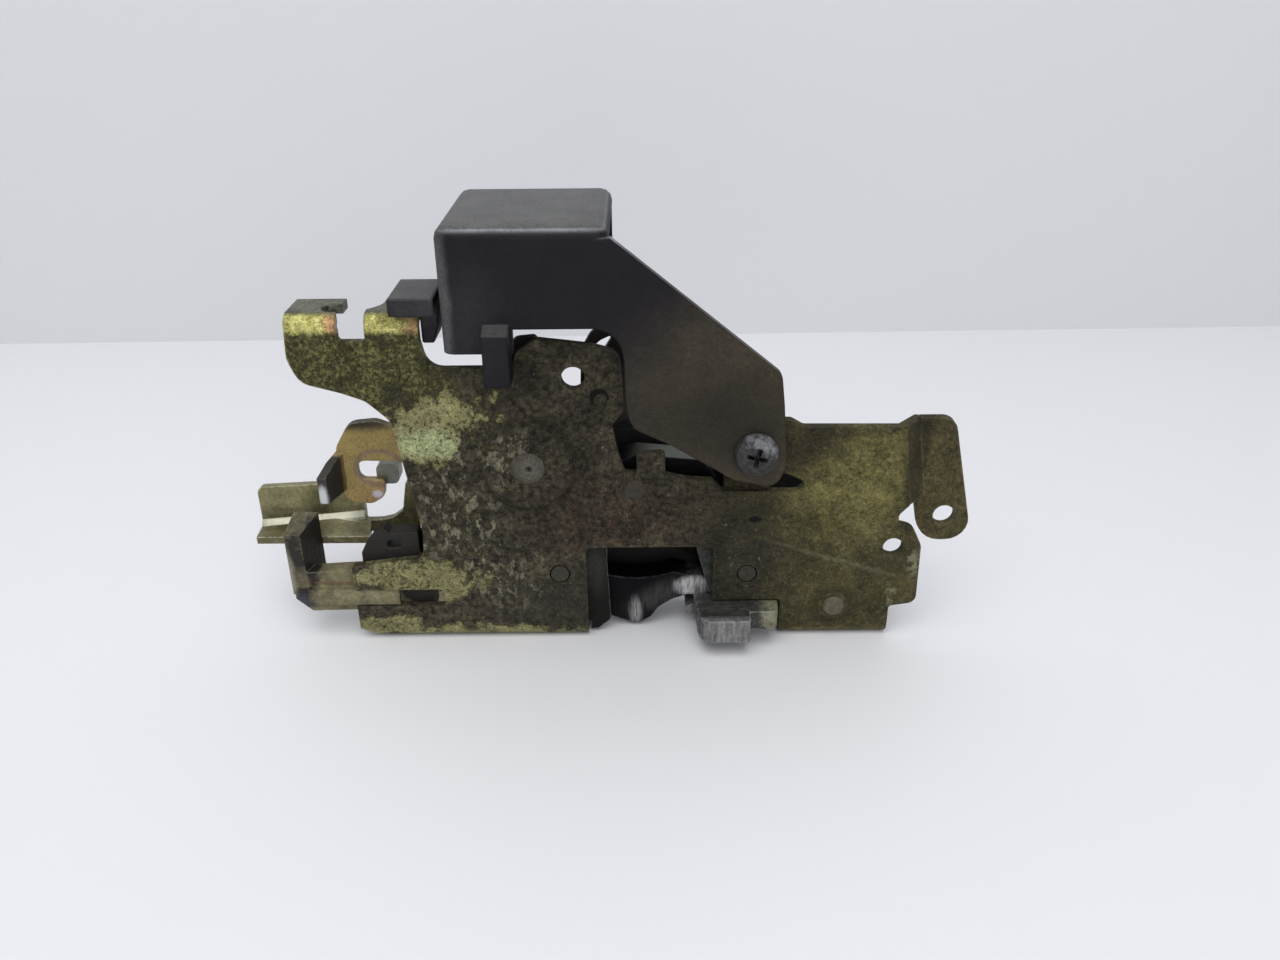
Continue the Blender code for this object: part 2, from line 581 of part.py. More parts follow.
def make_lock_slide():
    """Nylon slide running in the plate's open slot, with an upstand and a tooth."""
    front = PLATE_T + FIT
    back = 6.0
    outline = [
        (-77.6, 9.2), (-74.2, 6.0, 0.5), (-46.2, 6.6, 0.6), (-46.2, 17.6, 0.8),
        (-48.6, 18.0), (-48.6, 26.2, 0.5), (-54.8, 25.8), (-56.2, 27.2, 0.5), (-58.0, 26.0, 0.8),
        (-61.4, 21.2, 0.8), (-61.4, 16.8), (-74.8, 16.0), (-77.6, 16.0),
    ]
    window = rounded([(-55.6, 22.2, 0.5), (-52.4, 22.2, 0.5), (-52.4, 24.2, 0.5), (-55.6, 24.2, 0.5)])
    slide = flat("lock_slide", outline, "XZ", front, back, brown_nylon, [window])
    corners = []
    for near, far in ((-78.0, -77.4), (-74.5, -72.0)):
        corners += [(near, front, 10.4), (near, front, 25.6), (far, 9.4, 13.6), (far, 9.4, 27.6)]
    combine(slide, wrapped("slide_upstand", corners, brown_nylon))
    tongue = block("slide_tongue", (-74.0, 0.4, SLOT_LOW + FIT), (-53.8, front + 0.6, SLOT_HIGH - FIT),
                   brown_nylon)
    combine(slide, tongue)
    peg = turned("slide_peg", SLIDE_PIN, [(SLIDE_PIN_R, back - 1.0), (SLIDE_PIN_R, 8.9)],
                 brown_nylon, 20)
    combine(slide, peg)
    soften(slide, 0.35, 1)
    return slide


def make_lock_lever():
    """Lock lever: turns on its own stud and follows the slide's peg in an open fork."""
    pivot = (LOCK_PIVOT[0], 0.0, LOCK_PIVOT[1])
    span = math.degrees(math.atan2(SLIDE_PIN[1] - LOCK_PIVOT[1], SLIDE_PIN[0] - LOCK_PIVOT[0]))
    slot = SLIDE_PIN_R + 0.6

    def arm(distance, side, corner=0.0):
        a = math.radians(span)
        return (
            LOCK_PIVOT[0] + distance * math.cos(a) - side * math.sin(a),
            LOCK_PIVOT[1] + distance * math.sin(a) + side * math.cos(a),
            corner,
        )

    outline = arc(LOCK_PIVOT, 4.4, span - 75, span - 285, 12)
    outline += [
        arm(6.0, 4.3, 2.0), arm(11.0, 5.4), arm(19.6, 5.0, 1.2), arm(19.6, slot, 0.8),
        arm(13.4, slot, 1.6), arm(13.4, -slot, 1.6), arm(19.6, -slot, 0.8),
        arm(19.6, -5.0, 1.2), arm(11.0, -5.4), arm(6.0, -4.3, 2.0),
    ]
    hole = [circle(*LOCK_PIVOT, LOCK_STUD_R + FIT, 20)]
    return flat("lock_lever", outline, "XZ", 6.5, 8.5, black_plastic, hole, pivot)


def make_rear_case():
    """Moulded case behind the claw: back wall with one side wall reaching forward."""
    outline = [
        (-12.6, 3.2, 2.0), (17.0, 3.2, 2.0), (21.6, 13.0, 3.0), (21.6, 24.0, 2.0),
        (41.0, 24.0, 3.0), (41.0, 38.0, 4.0), (24.0, 44.6, 4.0), (-12.6, 44.6, 4.0),
    ]
    hole = [circle(*CLAW_PIVOT, CLAW_PIN_R + FIT)]
    case = flat("rear_case", outline, "XZ", CASE_FRONT, CASE_BACK, black_plastic, hole)
    wall = block("case_wall", (19.6, CLAW_FRONT, 14.6), (21.6, CASE_FRONT + 0.8, 40.0), black_plastic)
    combine(case, wall)
    return case


def make_back_plate():
    """Steel backing plate tied to the lock plate by the claw pin and the pawl pin."""
    outline = [
        (-12.0, 20.0, 3.0), (16.0, 20.0, 4.0), around(PAWL_PIVOT, 13.5, -163, 4.0),
        around(PAWL_PIVOT, 7.8, -40, 5.0), around(PAWL_PIVOT, 8.6, 42, 5.0), (34.0, 22.0, 6.0),
        (22.0, 43.6, 5.0), (-12.0, 43.6, 5.0),
    ]
    holes = [circle(*CLAW_PIVOT, 2.2 + FIT, 20), circle(*PAWL_PIVOT, 2.2 + FIT, 20)]
    plate = flat("back_plate", outline, "XZ", BACK_PLATE_FRONT, BACK_PLATE_BACK, chromate, holes)
    rib = flat("plate_rib", [(3.0, 25.0, 2.0), (19.0, 25.0, 2.0), (15.0, 39.0, 2.0), (7.0, 39.0, 2.0)],
               "XZ", BACK_PLATE_BACK - 0.4, BACK_PLATE_BACK + 0.7, chromate)
    combine(plate, rib)
    return plate


def make_hood():
    """Moulded hood: box open below and at the right, with a screw arm and a front clip."""
    back = HOOD_FRONT + HOOD_WALL
    hood = block("hood", (HOOD_LEFT, HOOD_FRONT, HOOD_LOW), (HOOD_RIGHT, HOOD_BACK, HOOD_TOP),
                 black_plastic)
    work = bmesh.new()
    work.from_mesh(hood.data)
    work.normal_update()
    floor = [face for face in work.faces if face.normal.z < -0.9]
    bmesh.ops.delete(work, geom=floor, context="FACES")
    rims = [edge for edge in work.edges if len(edge.link_faces) == 2]
    bmesh.ops.bevel(work, geom=rims, offset=HOOD_ROUND * MM, offset_type="OFFSET", segments=3,
                    profile=0.5, affect="EDGES", material=-1)
    work.to_mesh(hood.data)
    work.free()
    shell = hood.modifiers.new("wall", "SOLIDIFY")
    shell.thickness = HOOD_WALL * MM
    shell.offset = -1.0
    shell.use_even_offset = True
    side = block("hood_side", (HOOD_RIGHT - HOOD_ROUND - 1.4, back + 0.01, 60.0),
                 (HOOD_RIGHT + 2.0, HOOD_BACK - HOOD_WALL, HOOD_TOP - HOOD_LIP), black_plastic)
    cut(hood, side)
    under = block("hood_under", (-24.6, HOOD_FRONT - 1.0, 60.0), (HOOD_RIGHT + 2.0, back + 1.6, HOOD_UNDERSIDE),
                  black_plastic)
    cut(hood, under)
    arm = [
        (-12.0, 89.0), (-12.0, HOOD_UNDERSIDE), (-8.2, HOOD_UNDERSIDE), (-5.8, 72.9),
        (-4.2, 71.4), (-3.3, 69.6), (-2.9, 67.5), (-2.7, 60.0), (-2.5, 56.6), (-1.9, 54.2),
        (-0.9, 52.4), (1.5, 51.2), (6.1, 49.0), (14.5, 43.9),
        (19.4, 40.8, 3.0), (28.4, 38.8, 4.0), (30.2, 44.0, 3.0), (29.2, 57.4),
        (28.4, 64.0, 2.5), (15.2, 74.8), (-5.2, 91.4), (-7.4, 91.4),
    ]
    hole = [circle(*SCREW_AT, SCREW_R + FIT, 24)]
    combine(hood, flat("hood_arm", arm, "XZ", HOOD_FRONT, back, black_plastic, hole))
    clip = [
        (-30.2, -0.4, 63.2), (-25.1, -0.4, 63.2), (-30.2, -6.6, 63.2), (-25.1, -6.6, 63.2),
        (-30.2, -0.4, 75.6), (-25.1, -0.4, 75.6), (-30.2, -6.6, 73.6), (-25.1, -6.6, 73.6),
    ]
    combine(hood, wrapped("hood_clip", clip, black_plastic))
    return hood


def make_rod_clip():
    """Plastic clip pushed over the right cable tab, with a leg beside it."""
    clip = block("rod_clip", (-48.4, -2.4, PLATE_TOP + FIT), (-39.6, 11.4, 80.0), black_plastic)
    leg = wrapped("clip_leg", [(-43.0, y, z) for y in (1.2, 9.4) for z in (69.8, 78.0)]
                  + [(-39.6, y, z) for y in (1.2, 9.4) for z in (73.0, 78.0)]
                  + [(-40.6, y, 69.8) for y in (1.2, 9.4)], black_plastic)
    combine(clip, leg)
    recess = block("clip_recess", (-41.2, -1.2, 77.2), (-38.0, 10.2, 79.2), black_plastic)
    cut(clip, recess)
    soften(clip, 0.3, 1)
    return clip


def make_screw():
    """Pan-head screw with a cross recess, holding the hood's arm to the plate's lug."""
    top = HOOD_FRONT - 0.1
    screw = turned("hood_screw", SCREW_AT, [
        (2.0, top - 2.8), (3.3, top - 2.5), (4.2, top - 1.9), (4.6, top - 1.0), (4.6, top - 0.1),
        (4.4, top), (SCREW_R, top), (SCREW_R, 8.4), (SCREW_R - 0.6, 9.2),
    ], zinc, 32)
    for index, turn in enumerate((-14.0, 76.0)):
        corners = []
        for y, half, thick in ((top - 3.4, 2.6, 0.6), (top - 1.0, 1.3, 0.35)):
            for u in (-half, half):
                for v in (-thick, thick):
                    a = math.radians(turn)
                    corners.append((SCREW_AT[0] + u * math.cos(a) - v * math.sin(a), y,
                                    SCREW_AT[1] + u * math.sin(a) + v * math.cos(a)))
        cut(screw, wrapped("recess_%d" % index, corners, zinc))
    return screw


make_lock_plate()
make_guide()
make_claw()
make_pawl()
make_inside_lever()
make_release_lever()
make_outside_lever()
make_lock_slide()
make_lock_lever()
make_rear_case()
make_back_plate()
make_hood()
make_rod_clip()
make_screw()

# short pins that fix the guide, flush with the plate's face
for side, where in zip(("left", "right"), GUIDE_PINS):
    turned("guide_pin_" + side, where, [(GUIDE_PIN_R, 0.1), (GUIDE_PIN_R, GUIDE_BACK - 0.2)], zinc, 20)

turned("claw_pin", CLAW_PIVOT, [
    (1.9, -0.45), (2.3, -0.3), (2.3, -0.1), (CLAW_PIN_END_R, -0.1), (CLAW_PIN_END_R, GUIDE_FRONT), (CLAW_PIN_R, GUIDE_FRONT),
    (CLAW_PIN_R, BACK_PLATE_FRONT - FIT), (2.2, BACK_PLATE_FRONT - FIT),
    (2.2, BACK_PLATE_BACK + FIT), (3.6, BACK_PLATE_BACK + FIT), (3.4, BACK_PLATE_BACK + 1.5),
    (2.0, BACK_PLATE_BACK + 1.8),
], bare_steel, 24)
turned("pawl_pin", PAWL_PIVOT, [
    (1.2, -0.95), (2.1, -0.8), (2.45, -0.3), (2.45, -0.1), (PAWL_PIN_END_R, -0.1),
    (PAWL_PIN_END_R, GUIDE_FRONT), (PAWL_PIN_R, GUIDE_FRONT), (PAWL_PIN_R, BACK_PLATE_FRONT - FIT),
    (2.2, BACK_PLATE_FRONT - FIT), (2.2, BACK_PLATE_BACK + FIT), (3.6, BACK_PLATE_BACK + FIT),
    (3.4, BACK_PLATE_BACK + 1.5), (2.0, BACK_PLATE_BACK + 1.8),
], bare_steel, 24)
turned("main_pivot", MAIN_PIVOT, [
    (0.35, -0.8), (0.5, -1.35), (1.8, -1.45), (3.0, -1.25), (3.6, -0.95), (3.6, -EMBOSS_H - 0.1),
    (MAIN_STUD_END_R, -EMBOSS_H - 0.1), (MAIN_STUD_END_R, GUIDE_FRONT),
    (MAIN_SPACER_R, GUIDE_FRONT), (MAIN_SPACER_R, OUTSIDE_FRONT - FIT),
    (MAIN_STUD_R, OUTSIDE_FRONT - FIT), (MAIN_STUD_R, 21.2), (4.4, 21.2), (4.2, 22.4), (2.4, 22.8),
], bare_steel, 28)
turned("lock_stud", LOCK_PIVOT, [
    (3.2, GUIDE_FRONT - 0.2), (3.2, 6.2), (LOCK_STUD_R, 6.2), (LOCK_STUD_R, 8.8), (3.0, 8.8), (2.8, 9.8),
], bare_steel, 20)

# hexagonal nut behind the lug
nut = flat("hood_nut", [around(SCREW_AT, 4.7, 60 * i) for i in range(6)], "XZ", 3.7, 7.7, zinc,
           [circle(*SCREW_AT, SCREW_R + FIT, 20)])
soften(nut, 0.3, 1)

# nylon rod bush clipped behind the release lever's hook
bush = flat("rod_bush", [(-59.4, 31.5, 1.4), (-54.4, 31.5, 1.4), (-54.4, 36.4, 1.4), (-59.4, 36.4, 1.4)],
            "XZ", RELEASE_FRONT + LEVER_T + FIT, 19.4, white_nylon)
soften(bush, 0.4, 1)

coil("claw_spring", CLAW_PIVOT, 4.2, 11.3, 13.7, 2.25, 0.45, 200, (7.0, 9.0), spring_steel)
coil("pawl_spring", PAWL_PIVOT, 4.4, 10.6, 15.0, 3.4, 0.5, 170, (9.0, 6.0), spring_steel)
coil("release_spring", MAIN_PIVOT, 4.3, 17.8, 20.4, 2.25, 0.5, 100, (16.0, 8.0), spring_steel)
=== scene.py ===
"""Looks of a used car door lock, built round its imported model.

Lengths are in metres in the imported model's frame: X to the right, Y to the back, Z up.
Places on the lock are given in millimetres along X and Z, as seen from its front.
"""
import math

import bmesh
import bpy
from mathutils import Matrix


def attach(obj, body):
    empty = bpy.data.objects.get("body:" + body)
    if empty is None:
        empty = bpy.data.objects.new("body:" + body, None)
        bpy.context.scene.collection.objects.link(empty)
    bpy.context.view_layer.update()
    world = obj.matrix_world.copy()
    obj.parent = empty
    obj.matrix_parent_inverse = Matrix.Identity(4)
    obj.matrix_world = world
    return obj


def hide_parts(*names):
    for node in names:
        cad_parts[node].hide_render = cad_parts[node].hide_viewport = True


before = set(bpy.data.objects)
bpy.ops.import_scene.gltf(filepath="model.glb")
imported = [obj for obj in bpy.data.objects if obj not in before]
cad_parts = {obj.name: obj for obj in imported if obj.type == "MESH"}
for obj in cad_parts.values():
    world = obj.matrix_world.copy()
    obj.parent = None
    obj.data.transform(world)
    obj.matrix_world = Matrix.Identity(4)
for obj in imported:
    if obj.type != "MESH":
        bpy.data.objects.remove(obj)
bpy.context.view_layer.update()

# Camera and table: the lock stands on a pale table in front of a pale wall, seen from
# its front and a little above, under two wide soft lamps and a dim room.
scene = bpy.context.scene
scene.view_settings.view_transform = "Standard"

camera_spot = (0.0075, -0.2131, 0.1406)
camera_tilt, camera_roll = math.radians(63.2), math.radians(-0.5)
camera_data = bpy.data.cameras.new("table_camera")
camera_data.lens = 29.95
camera_data.sensor_width = 36.0
camera_data.clip_start = 0.01
camera = bpy.data.objects.new("table_camera", camera_data)
camera.matrix_world = (
    Matrix.Translation(camera_spot)
    @ Matrix.Rotation(camera_tilt, 4, "X")
    @ Matrix.Rotation(camera_roll, 4, "Z")
)
scene.collection.objects.link(camera)
scene.camera = camera

room_tone, room_strength = (0.93, 0.96, 1.0, 1.0), 0.4
sky = bpy.data.worlds.new("room_light")
sky.use_nodes = True
sky.node_tree.nodes["Background"].inputs["Color"].default_value = room_tone
sky.node_tree.nodes["Background"].inputs["Strength"].default_value = room_strength
scene.world = sky


def placed(spot, tilt, turn):
    """A place in the room: tilted about X, then turned about Z, in degrees."""
    return (
        Matrix.Translation(spot)
        @ Matrix.Rotation(math.radians(turn), 4, "Z")
        @ Matrix.Rotation(math.radians(tilt), 4, "X")
    )


for label, size, watts, spot, tilt, turn in (
    ("lamp_above", 0.8, 4.6, (-0.1, -0.32, 0.8), 20.0, -8.0),
    ("lamp_front", 0.6, 1.5, (0.25, -0.8, 0.45), 60.0, 17.0),
):
    lamp_data = bpy.data.lights.new(label, "AREA")
    lamp_data.size = size
    lamp_data.energy = watts
    lamp = bpy.data.objects.new(label, lamp_data)
    lamp.matrix_world = placed(spot, tilt, turn)
    scene.collection.objects.link(lamp)


def tone(code):
    """Linear colour of a screen colour code."""
    parts = [int(code[i : i + 2], 16) / 255 for i in (0, 2, 4)]
    return [p / 12.92 if p <= 0.04045 else ((p + 0.055) / 1.055) ** 2.4 for p in parts] + [1.0]


def plug(tree, socket, value):
    """Joins another node's output to a socket, or sets the socket to a plain value."""
    if isinstance(value, bpy.types.NodeSocket):
        tree.links.new(value, socket)
    else:
        socket.default_value = value


def put(tree, kind, sockets=None, **options):
    """Adds a shader node; each named socket takes a value or another node's output."""
    node = tree.nodes.new("ShaderNode" + kind)
    for option, value in options.items():
        setattr(node, option, value)
    for socket, value in (sockets or {}).items():
        plug(tree, node.inputs[socket], value)
    return node


def reckon(tree, operation, first, second=0.0, clamp=False):
    """One step of arithmetic with masks or values."""
    node = put(tree, "Math", {0: first, 1: second}, operation=operation, use_clamp=clamp)
    return node.outputs[0]


def between(tree, value, low, high, start=0.0, end=1.0):
    """Goes from low to high while the value goes from start to end."""
    sockets = {"Value": value, "From Min": start, "From Max": end, "To Min": low, "To Max": high}
    return put(tree, "MapRange", sockets).outputs["Result"]


def shaded(tree, colour, light):
    """A colour made lighter or darker by a value about 1."""
    node = put(tree, "VectorMath", {0: colour, "Scale": light}, operation="SCALE")
    return node.outputs["Vector"]


def new_finish(name):
    """A material with its node tree and its Principled shader."""
    material = bpy.data.materials.new(name)
    material.use_nodes = True
    return material, material.node_tree, material.node_tree.nodes["Principled BSDF"]


def feed(tree, shader, **sockets):
    """Joins or sets sockets of the Principled shader, named with underscores."""
    for socket, value in sockets.items():
        plug(tree, shader.inputs[socket.replace("_", " ").title()], value)


room_width = 3.0
for label, code, spot, tilt, turn in (
    ("table_top", "ebebee", (0.0, 0.0, -0.0002), 0.0, 0.0),
    ("back_wall", "e2e3e6", (0.0, 0.1945, 0.0), 90.0, 0.9),
):
    work = bmesh.new()
    bmesh.ops.create_grid(work, x_segments=1, y_segments=1, size=room_width / 2)
    bmesh.ops.transform(work, verts=work.verts, matrix=placed(spot, tilt, turn))
    mesh = bpy.data.meshes.new(label)
    work.to_mesh(mesh)
    work.free()
    surface = bpy.data.objects.new(label, mesh)
    scene.collection.objects.link(surface)
    # both are see-through from their backs, so that the lock can be viewed from all sides
    paint, tree, shader = new_finish(label + "_paint")
    mottle = put(tree, "TexNoise", {"Scale": 9.0, "Detail": 6.0}).outputs["Fac"]
    colour = shaded(tree, tone(code)[:3], between(tree, mottle, 0.97, 1.03))
    solid = reckon(tree, "SUBTRACT", 1.0, put(tree, "NewGeometry").outputs["Backfacing"])
    feed(tree, shader, base_color=colour, alpha=solid, roughness=0.45)
    mesh.materials.append(paint)


# Lock plate: one stamping of 2 mm steel sheet with bent flanges and cable tabs, plated
# olive-yellow and later covered by brown-grey road dirt that left clean places at both ends.
def times(tree, first, second):
    """One mask or value times another."""
    return reckon(tree, "MULTIPLY", first, second)


def less(tree, first, second):
    """What is left of a mask once another is taken off, down to 0."""
    return reckon(tree, "SUBTRACT", first, second, clamp=True)


def along(tree, value, start, end):
    """A mask that rises from 0 to 1 while the value goes from start to end."""
    return between(tree, value, 0.0, 1.0, start, end)


def blend(tree, mask, first, second):
    """A value that changes from the first to the second with a mask."""
    node = put(tree, "Mix", {"Factor": mask, 2: first, 3: second}, data_type="FLOAT")
    return node.outputs[0]


def over(tree, mask, below, above, share=1.0):
    """One colour or colour code laid over another where the mask times its share is 1."""
    if share != 1.0:
        mask = times(tree, mask, share)
    node = put(tree, "Mix", data_type="RGBA")
    for index, value in ((0, mask), (6, below), (7, above)):
        plug(tree, node.inputs[index], tone(value) if isinstance(value, str) else value)
    return node.outputs[2]


def reading(tree, source="Object"):
    """Each point's place on the lock, or with Normal the way that it faces."""
    return put(tree, "TexCoord").outputs[source]


def split(tree, source="Object"):
    """The X, Y and Z of that reading."""
    return put(tree, "SeparateXYZ", {"Vector": reading(tree, source)}).outputs


def vectors(tree, operation, first, second):
    """One step of arithmetic with vectors."""
    return put(tree, "VectorMath", {0: first, 1: second}, operation=operation).outputs["Vector"]


def noise(tree, spot, scale, detail, roughness=0.5):
    """Cloudy noise, mostly between a quarter and three quarters."""
    sockets = {"Vector": spot, "Scale": scale, "Detail": detail, "Roughness": roughness}
    return put(tree, "TexNoise", sockets).outputs["Fac"]


def new_effect(name, inputs, outputs):
    """A shader node group with named inputs and outputs."""
    group = bpy.data.node_groups.new(name, "ShaderNodeTree")
    for label, kind, value in inputs:
        socket = group.interface.new_socket(label, in_out="INPUT", socket_type="NodeSocket" + kind)
        socket.default_value = value
    for label, kind in outputs:
        group.interface.new_socket(label, in_out="OUTPUT", socket_type="NodeSocket" + kind)
    given = group.nodes.new("NodeGroupInput").outputs
    return group, given, group.nodes.new("NodeGroupOutput").inputs


def use(tree, effect, **sockets):
    """Puts an effect in a material and returns its outputs."""
    node = tree.nodes.new("ShaderNodeGroup")
    node.node_tree = effect
    for socket, value in sockets.items():
        plug(tree, node.inputs[socket.capitalize()], value)
    return node.outputs


# a place on the lock with a ragged outline, at any depth
place, given, result = new_effect(
    "place",
    (("Centre", "Vector", (0.0, 0.0, 0.0)), ("Half", "Vector", (0.01, 1.0, 0.01)),
     ("Turn", "Float", 0.0), ("Soft", "Float", 0.3), ("Wander", "Float", 0.0)),
    (("Mask", "Float"),),
)
offset = vectors(place, "SUBTRACT", reading(place), given["Centre"])
offset = put(
    place, "VectorRotate", {"Vector": offset, "Axis": (0.0, 1.0, 0.0), "Angle": given["Turn"]}
).outputs["Vector"]
offset = vectors(place, "DIVIDE", offset, given["Half"])
offset = vectors(place, "MULTIPLY", offset, (1.0, 0.0, 1.0))
length = put(place, "VectorMath", {0: offset}, operation="LENGTH").outputs["Value"]
mask = put(
    place, "MapRange",
    {"Value": reckon(place, "ADD", length, given["Wander"]),
     "From Min": reckon(place, "ADD", 1.0, given["Soft"]),
     "From Max": reckon(place, "SUBTRACT", 1.0, given["Soft"])},
    interpolation_type="SMOOTHSTEP",
)
place.links.new(mask.outputs["Result"], result["Mask"])

# flecks that cover a share of the surface; nearly all of the noise lies in the span below its top
noise_top, noise_span = 0.73, 0.46
flecks, given, result = new_effect(
    "flecks",
    (("Cover", "Float", 0.5), ("Size", "Float", 0.001), ("Edge", "Float", 0.1),
     ("Stretch", "Vector", (1.0, 1.0, 1.0)), ("Shift", "Vector", (0.0, 0.0, 0.0))),
    (("Mask", "Float"),),
)
spot = vectors(flecks, "ADD", reading(flecks), given["Shift"])
spot = vectors(flecks, "MULTIPLY", spot, given["Stretch"])
cloud = noise(flecks, spot, reckon(flecks, "DIVIDE", 1.0, given["Size"]), 6.0, 0.68)
middle = reckon(flecks, "SUBTRACT", noise_top, times(flecks, given["Cover"], noise_span))
half = times(flecks, given["Edge"], 0.5)
start = reckon(flecks, "SUBTRACT", middle, half)
end = reckon(flecks, "ADD", middle, half)
flecks.links.new(along(flecks, cloud, start, end), result["Mask"])

# rubbed edges with small chips, and the normal of slightly rounded ones
flat, turned_away = 0.995, 0.86
rubbed, given, result = new_effect(
    "rubbed_edge",
    (("Width", "Float", 0.0003), ("Rub", "Float", 1.0)),
    (("Mask", "Float"), ("Normal", "Vector")),
)
rounder = put(rubbed, "Bevel", {"Radius": given["Width"]}, samples=4).outputs["Normal"]
true_normal = put(rubbed, "NewGeometry").outputs["Normal"]
agree = put(rubbed, "VectorMath", {0: rounder, 1: true_normal}, operation="DOT_PRODUCT")
edge = along(rubbed, agree.outputs["Value"], flat, turned_away)
chips = along(rubbed, noise(rubbed, reading(rubbed), 900.0, 3.0), 0.36, 0.56)
edge = times(rubbed, times(rubbed, edge, chips), given["Rub"])
rubbed.links.new(edge, result["Mask"])
rubbed.links.new(rounder, result["Normal"])

# pebbly height of dried dirt and of cast or moulded skin
pebbles, given, result = new_effect(
    "pebbles", (("Size", "Float", 0.0008),), (("Height", "Float"),)
)
spot = reading(pebbles)
scale = reckon(pebbles, "DIVIDE", 1.0, given["Size"])
lumps = put(pebbles, "TexVoronoi", {"Vector": spot, "Scale": scale}, feature="SMOOTH_F1")
dust = noise(pebbles, spot, scale, 5.0, 0.65)
height = reckon(pebbles, "SUBTRACT", dust, times(pebbles, lumps.outputs["Distance"], 0.6))
pebbles.links.new(height, result["Height"])

# fine grain and slow clouds that lighten and darken a colour, in three sizes of noise
grained, given, result = new_effect(
    "grain", (("Size", "Float", 0.0004), ("Amount", "Float", 0.3)), (("Light", "Float"),)
)
spot = reading(grained)
light = 1.0
for coarser, share in ((1.0, 1.4), (2.6, 0.8), (14.0, 0.8)):
    scale = reckon(grained, "DIVIDE", 1.0 / coarser, given["Size"])
    swing = reckon(grained, "SUBTRACT", noise(grained, spot, scale, 3.0, 0.6), 0.5)
    swing = times(grained, swing, 4.0 * share)
    light = reckon(grained, "ADD", light, times(grained, swing, given["Amount"]))
grained.links.new(reckon(grained, "MAXIMUM", light, 0.15), result["Light"])

# how much a surface faces up on the piece
upward, given, result = new_effect("facing_up", (("Start", "Float", 0.5),), (("Mask", "Float"),))
mask = put(
    upward, "MapRange",
    {"Value": split(upward, "Normal")["Z"], "From Min": given["Start"], "From Max": 0.95},
    interpolation_type="SMOOTHSTEP",
)
upward.links.new(mask.outputs["Result"], result["Mask"])


def near(tree, x, z, half_x, half_z, soft=0.3, wander=0.0, turn=0.0):
    """A place on the lock in millimetres, as a mask; turn is in degrees, down to the right."""
    return use(
        tree, place, centre=(x / 1000, 0.0, z / 1000), half=(half_x / 1000, 1.0, half_z / 1000),
        soft=soft, wander=wander, turn=math.radians(-turn),
    )["Mask"]


def wandering(tree, size, share):
    """A slow noise about 0 that makes the edge of a place ragged."""
    cloud = noise(tree, reading(tree), 1.0 / size, 5.0, 0.65)
    return times(tree, reckon(tree, "SUBTRACT", cloud, 0.5), share)


def together(tree, *shares):
    """Adds masks, each times its share, up to 1."""
    total = 0.0
    for mask, share in shares:
        total = reckon(tree, "ADD", total, times(tree, mask, share), clamp=True)
    return total


def fleck(tree, cover, size, edge, **sockets):
    """A mask of flecks, by their cover, size and softness of edge."""
    return use(tree, flecks, cover=cover, size=size, edge=edge, **sockets)["Mask"]


def facing_up(tree, start):
    """A mask of what faces up, from where its normal's Z passes start."""
    return use(tree, upward, start=start)["Mask"]


def speckled(tree, colour, amount, size=0.0004, light=1.0):
    """A colour with fine grain and slow clouds in it."""
    grain = use(tree, grained, size=size, amount=amount)["Light"]
    return shaded(tree, colour, grain if light == 1.0 else times(tree, grain, light))


def relief(tree, height, depth, normal=None):
    """Turns a height into a surface normal."""
    sockets = {"Height": height, "Distance": depth, "Strength": 1.0}
    if normal is not None:
        sockets["Normal"] = normal
    return put(tree, "Bump", sockets).outputs["Normal"]


def pebbly(tree, size, depth, normal=None):
    """The surface normal of a pebbly skin."""
    return relief(tree, use(tree, pebbles, size=size)["Height"], depth, normal)


weld_distance = 0.000004
flat_angle, crease_angle = math.radians(0.6), math.radians(32)


def merged_copy(node, name, rounding=0.0, segments=2):
    """A merged copy of a CAD node with whole flat faces, smooth curves and soft edges."""
    mesh = bpy.data.meshes.new(name)
    work = bmesh.new()
    work.from_mesh(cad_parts[node].data)
    bmesh.ops.remove_doubles(work, verts=work.verts, dist=weld_distance)
    bmesh.ops.dissolve_limit(work, angle_limit=flat_angle, verts=work.verts, edges=work.edges)
    work.to_mesh(mesh)
    work.free()
    for extra in ("custom_normal", "sharp_edge", "sharp_face", "material_index"):
        if extra in mesh.attributes:
            mesh.attributes.remove(mesh.attributes[extra])
    mesh.shade_smooth()
    mesh.set_sharp_from_angle(angle=crease_angle)
    piece = bpy.data.objects.new(name, mesh)
    scene.collection.objects.link(piece)
    if rounding:
        soft = piece.modifiers.new("soft_edges", "BEVEL")
        soft.width = rounding
        soft.segments = segments
        soft.limit_method = "ANGLE"
        soft.angle_limit = crease_angle
        soft.harden_normals = True
    return piece


def settle(piece, finish, body, slot, *nodes):
    """Gives a piece its finish, its body, and the nodes that it stands for."""
    piece.data.materials.clear()
    piece.data.materials.append(finish)
    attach(piece, body)
    if nodes:
        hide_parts(*nodes)


def dress(node, name, finish, body, slot, rounding=0.0, segments=2):
    """Puts a finished copy in the place of a CAD node."""
    settle(merged_copy(node, name, rounding, segments), finish, body, slot, node)


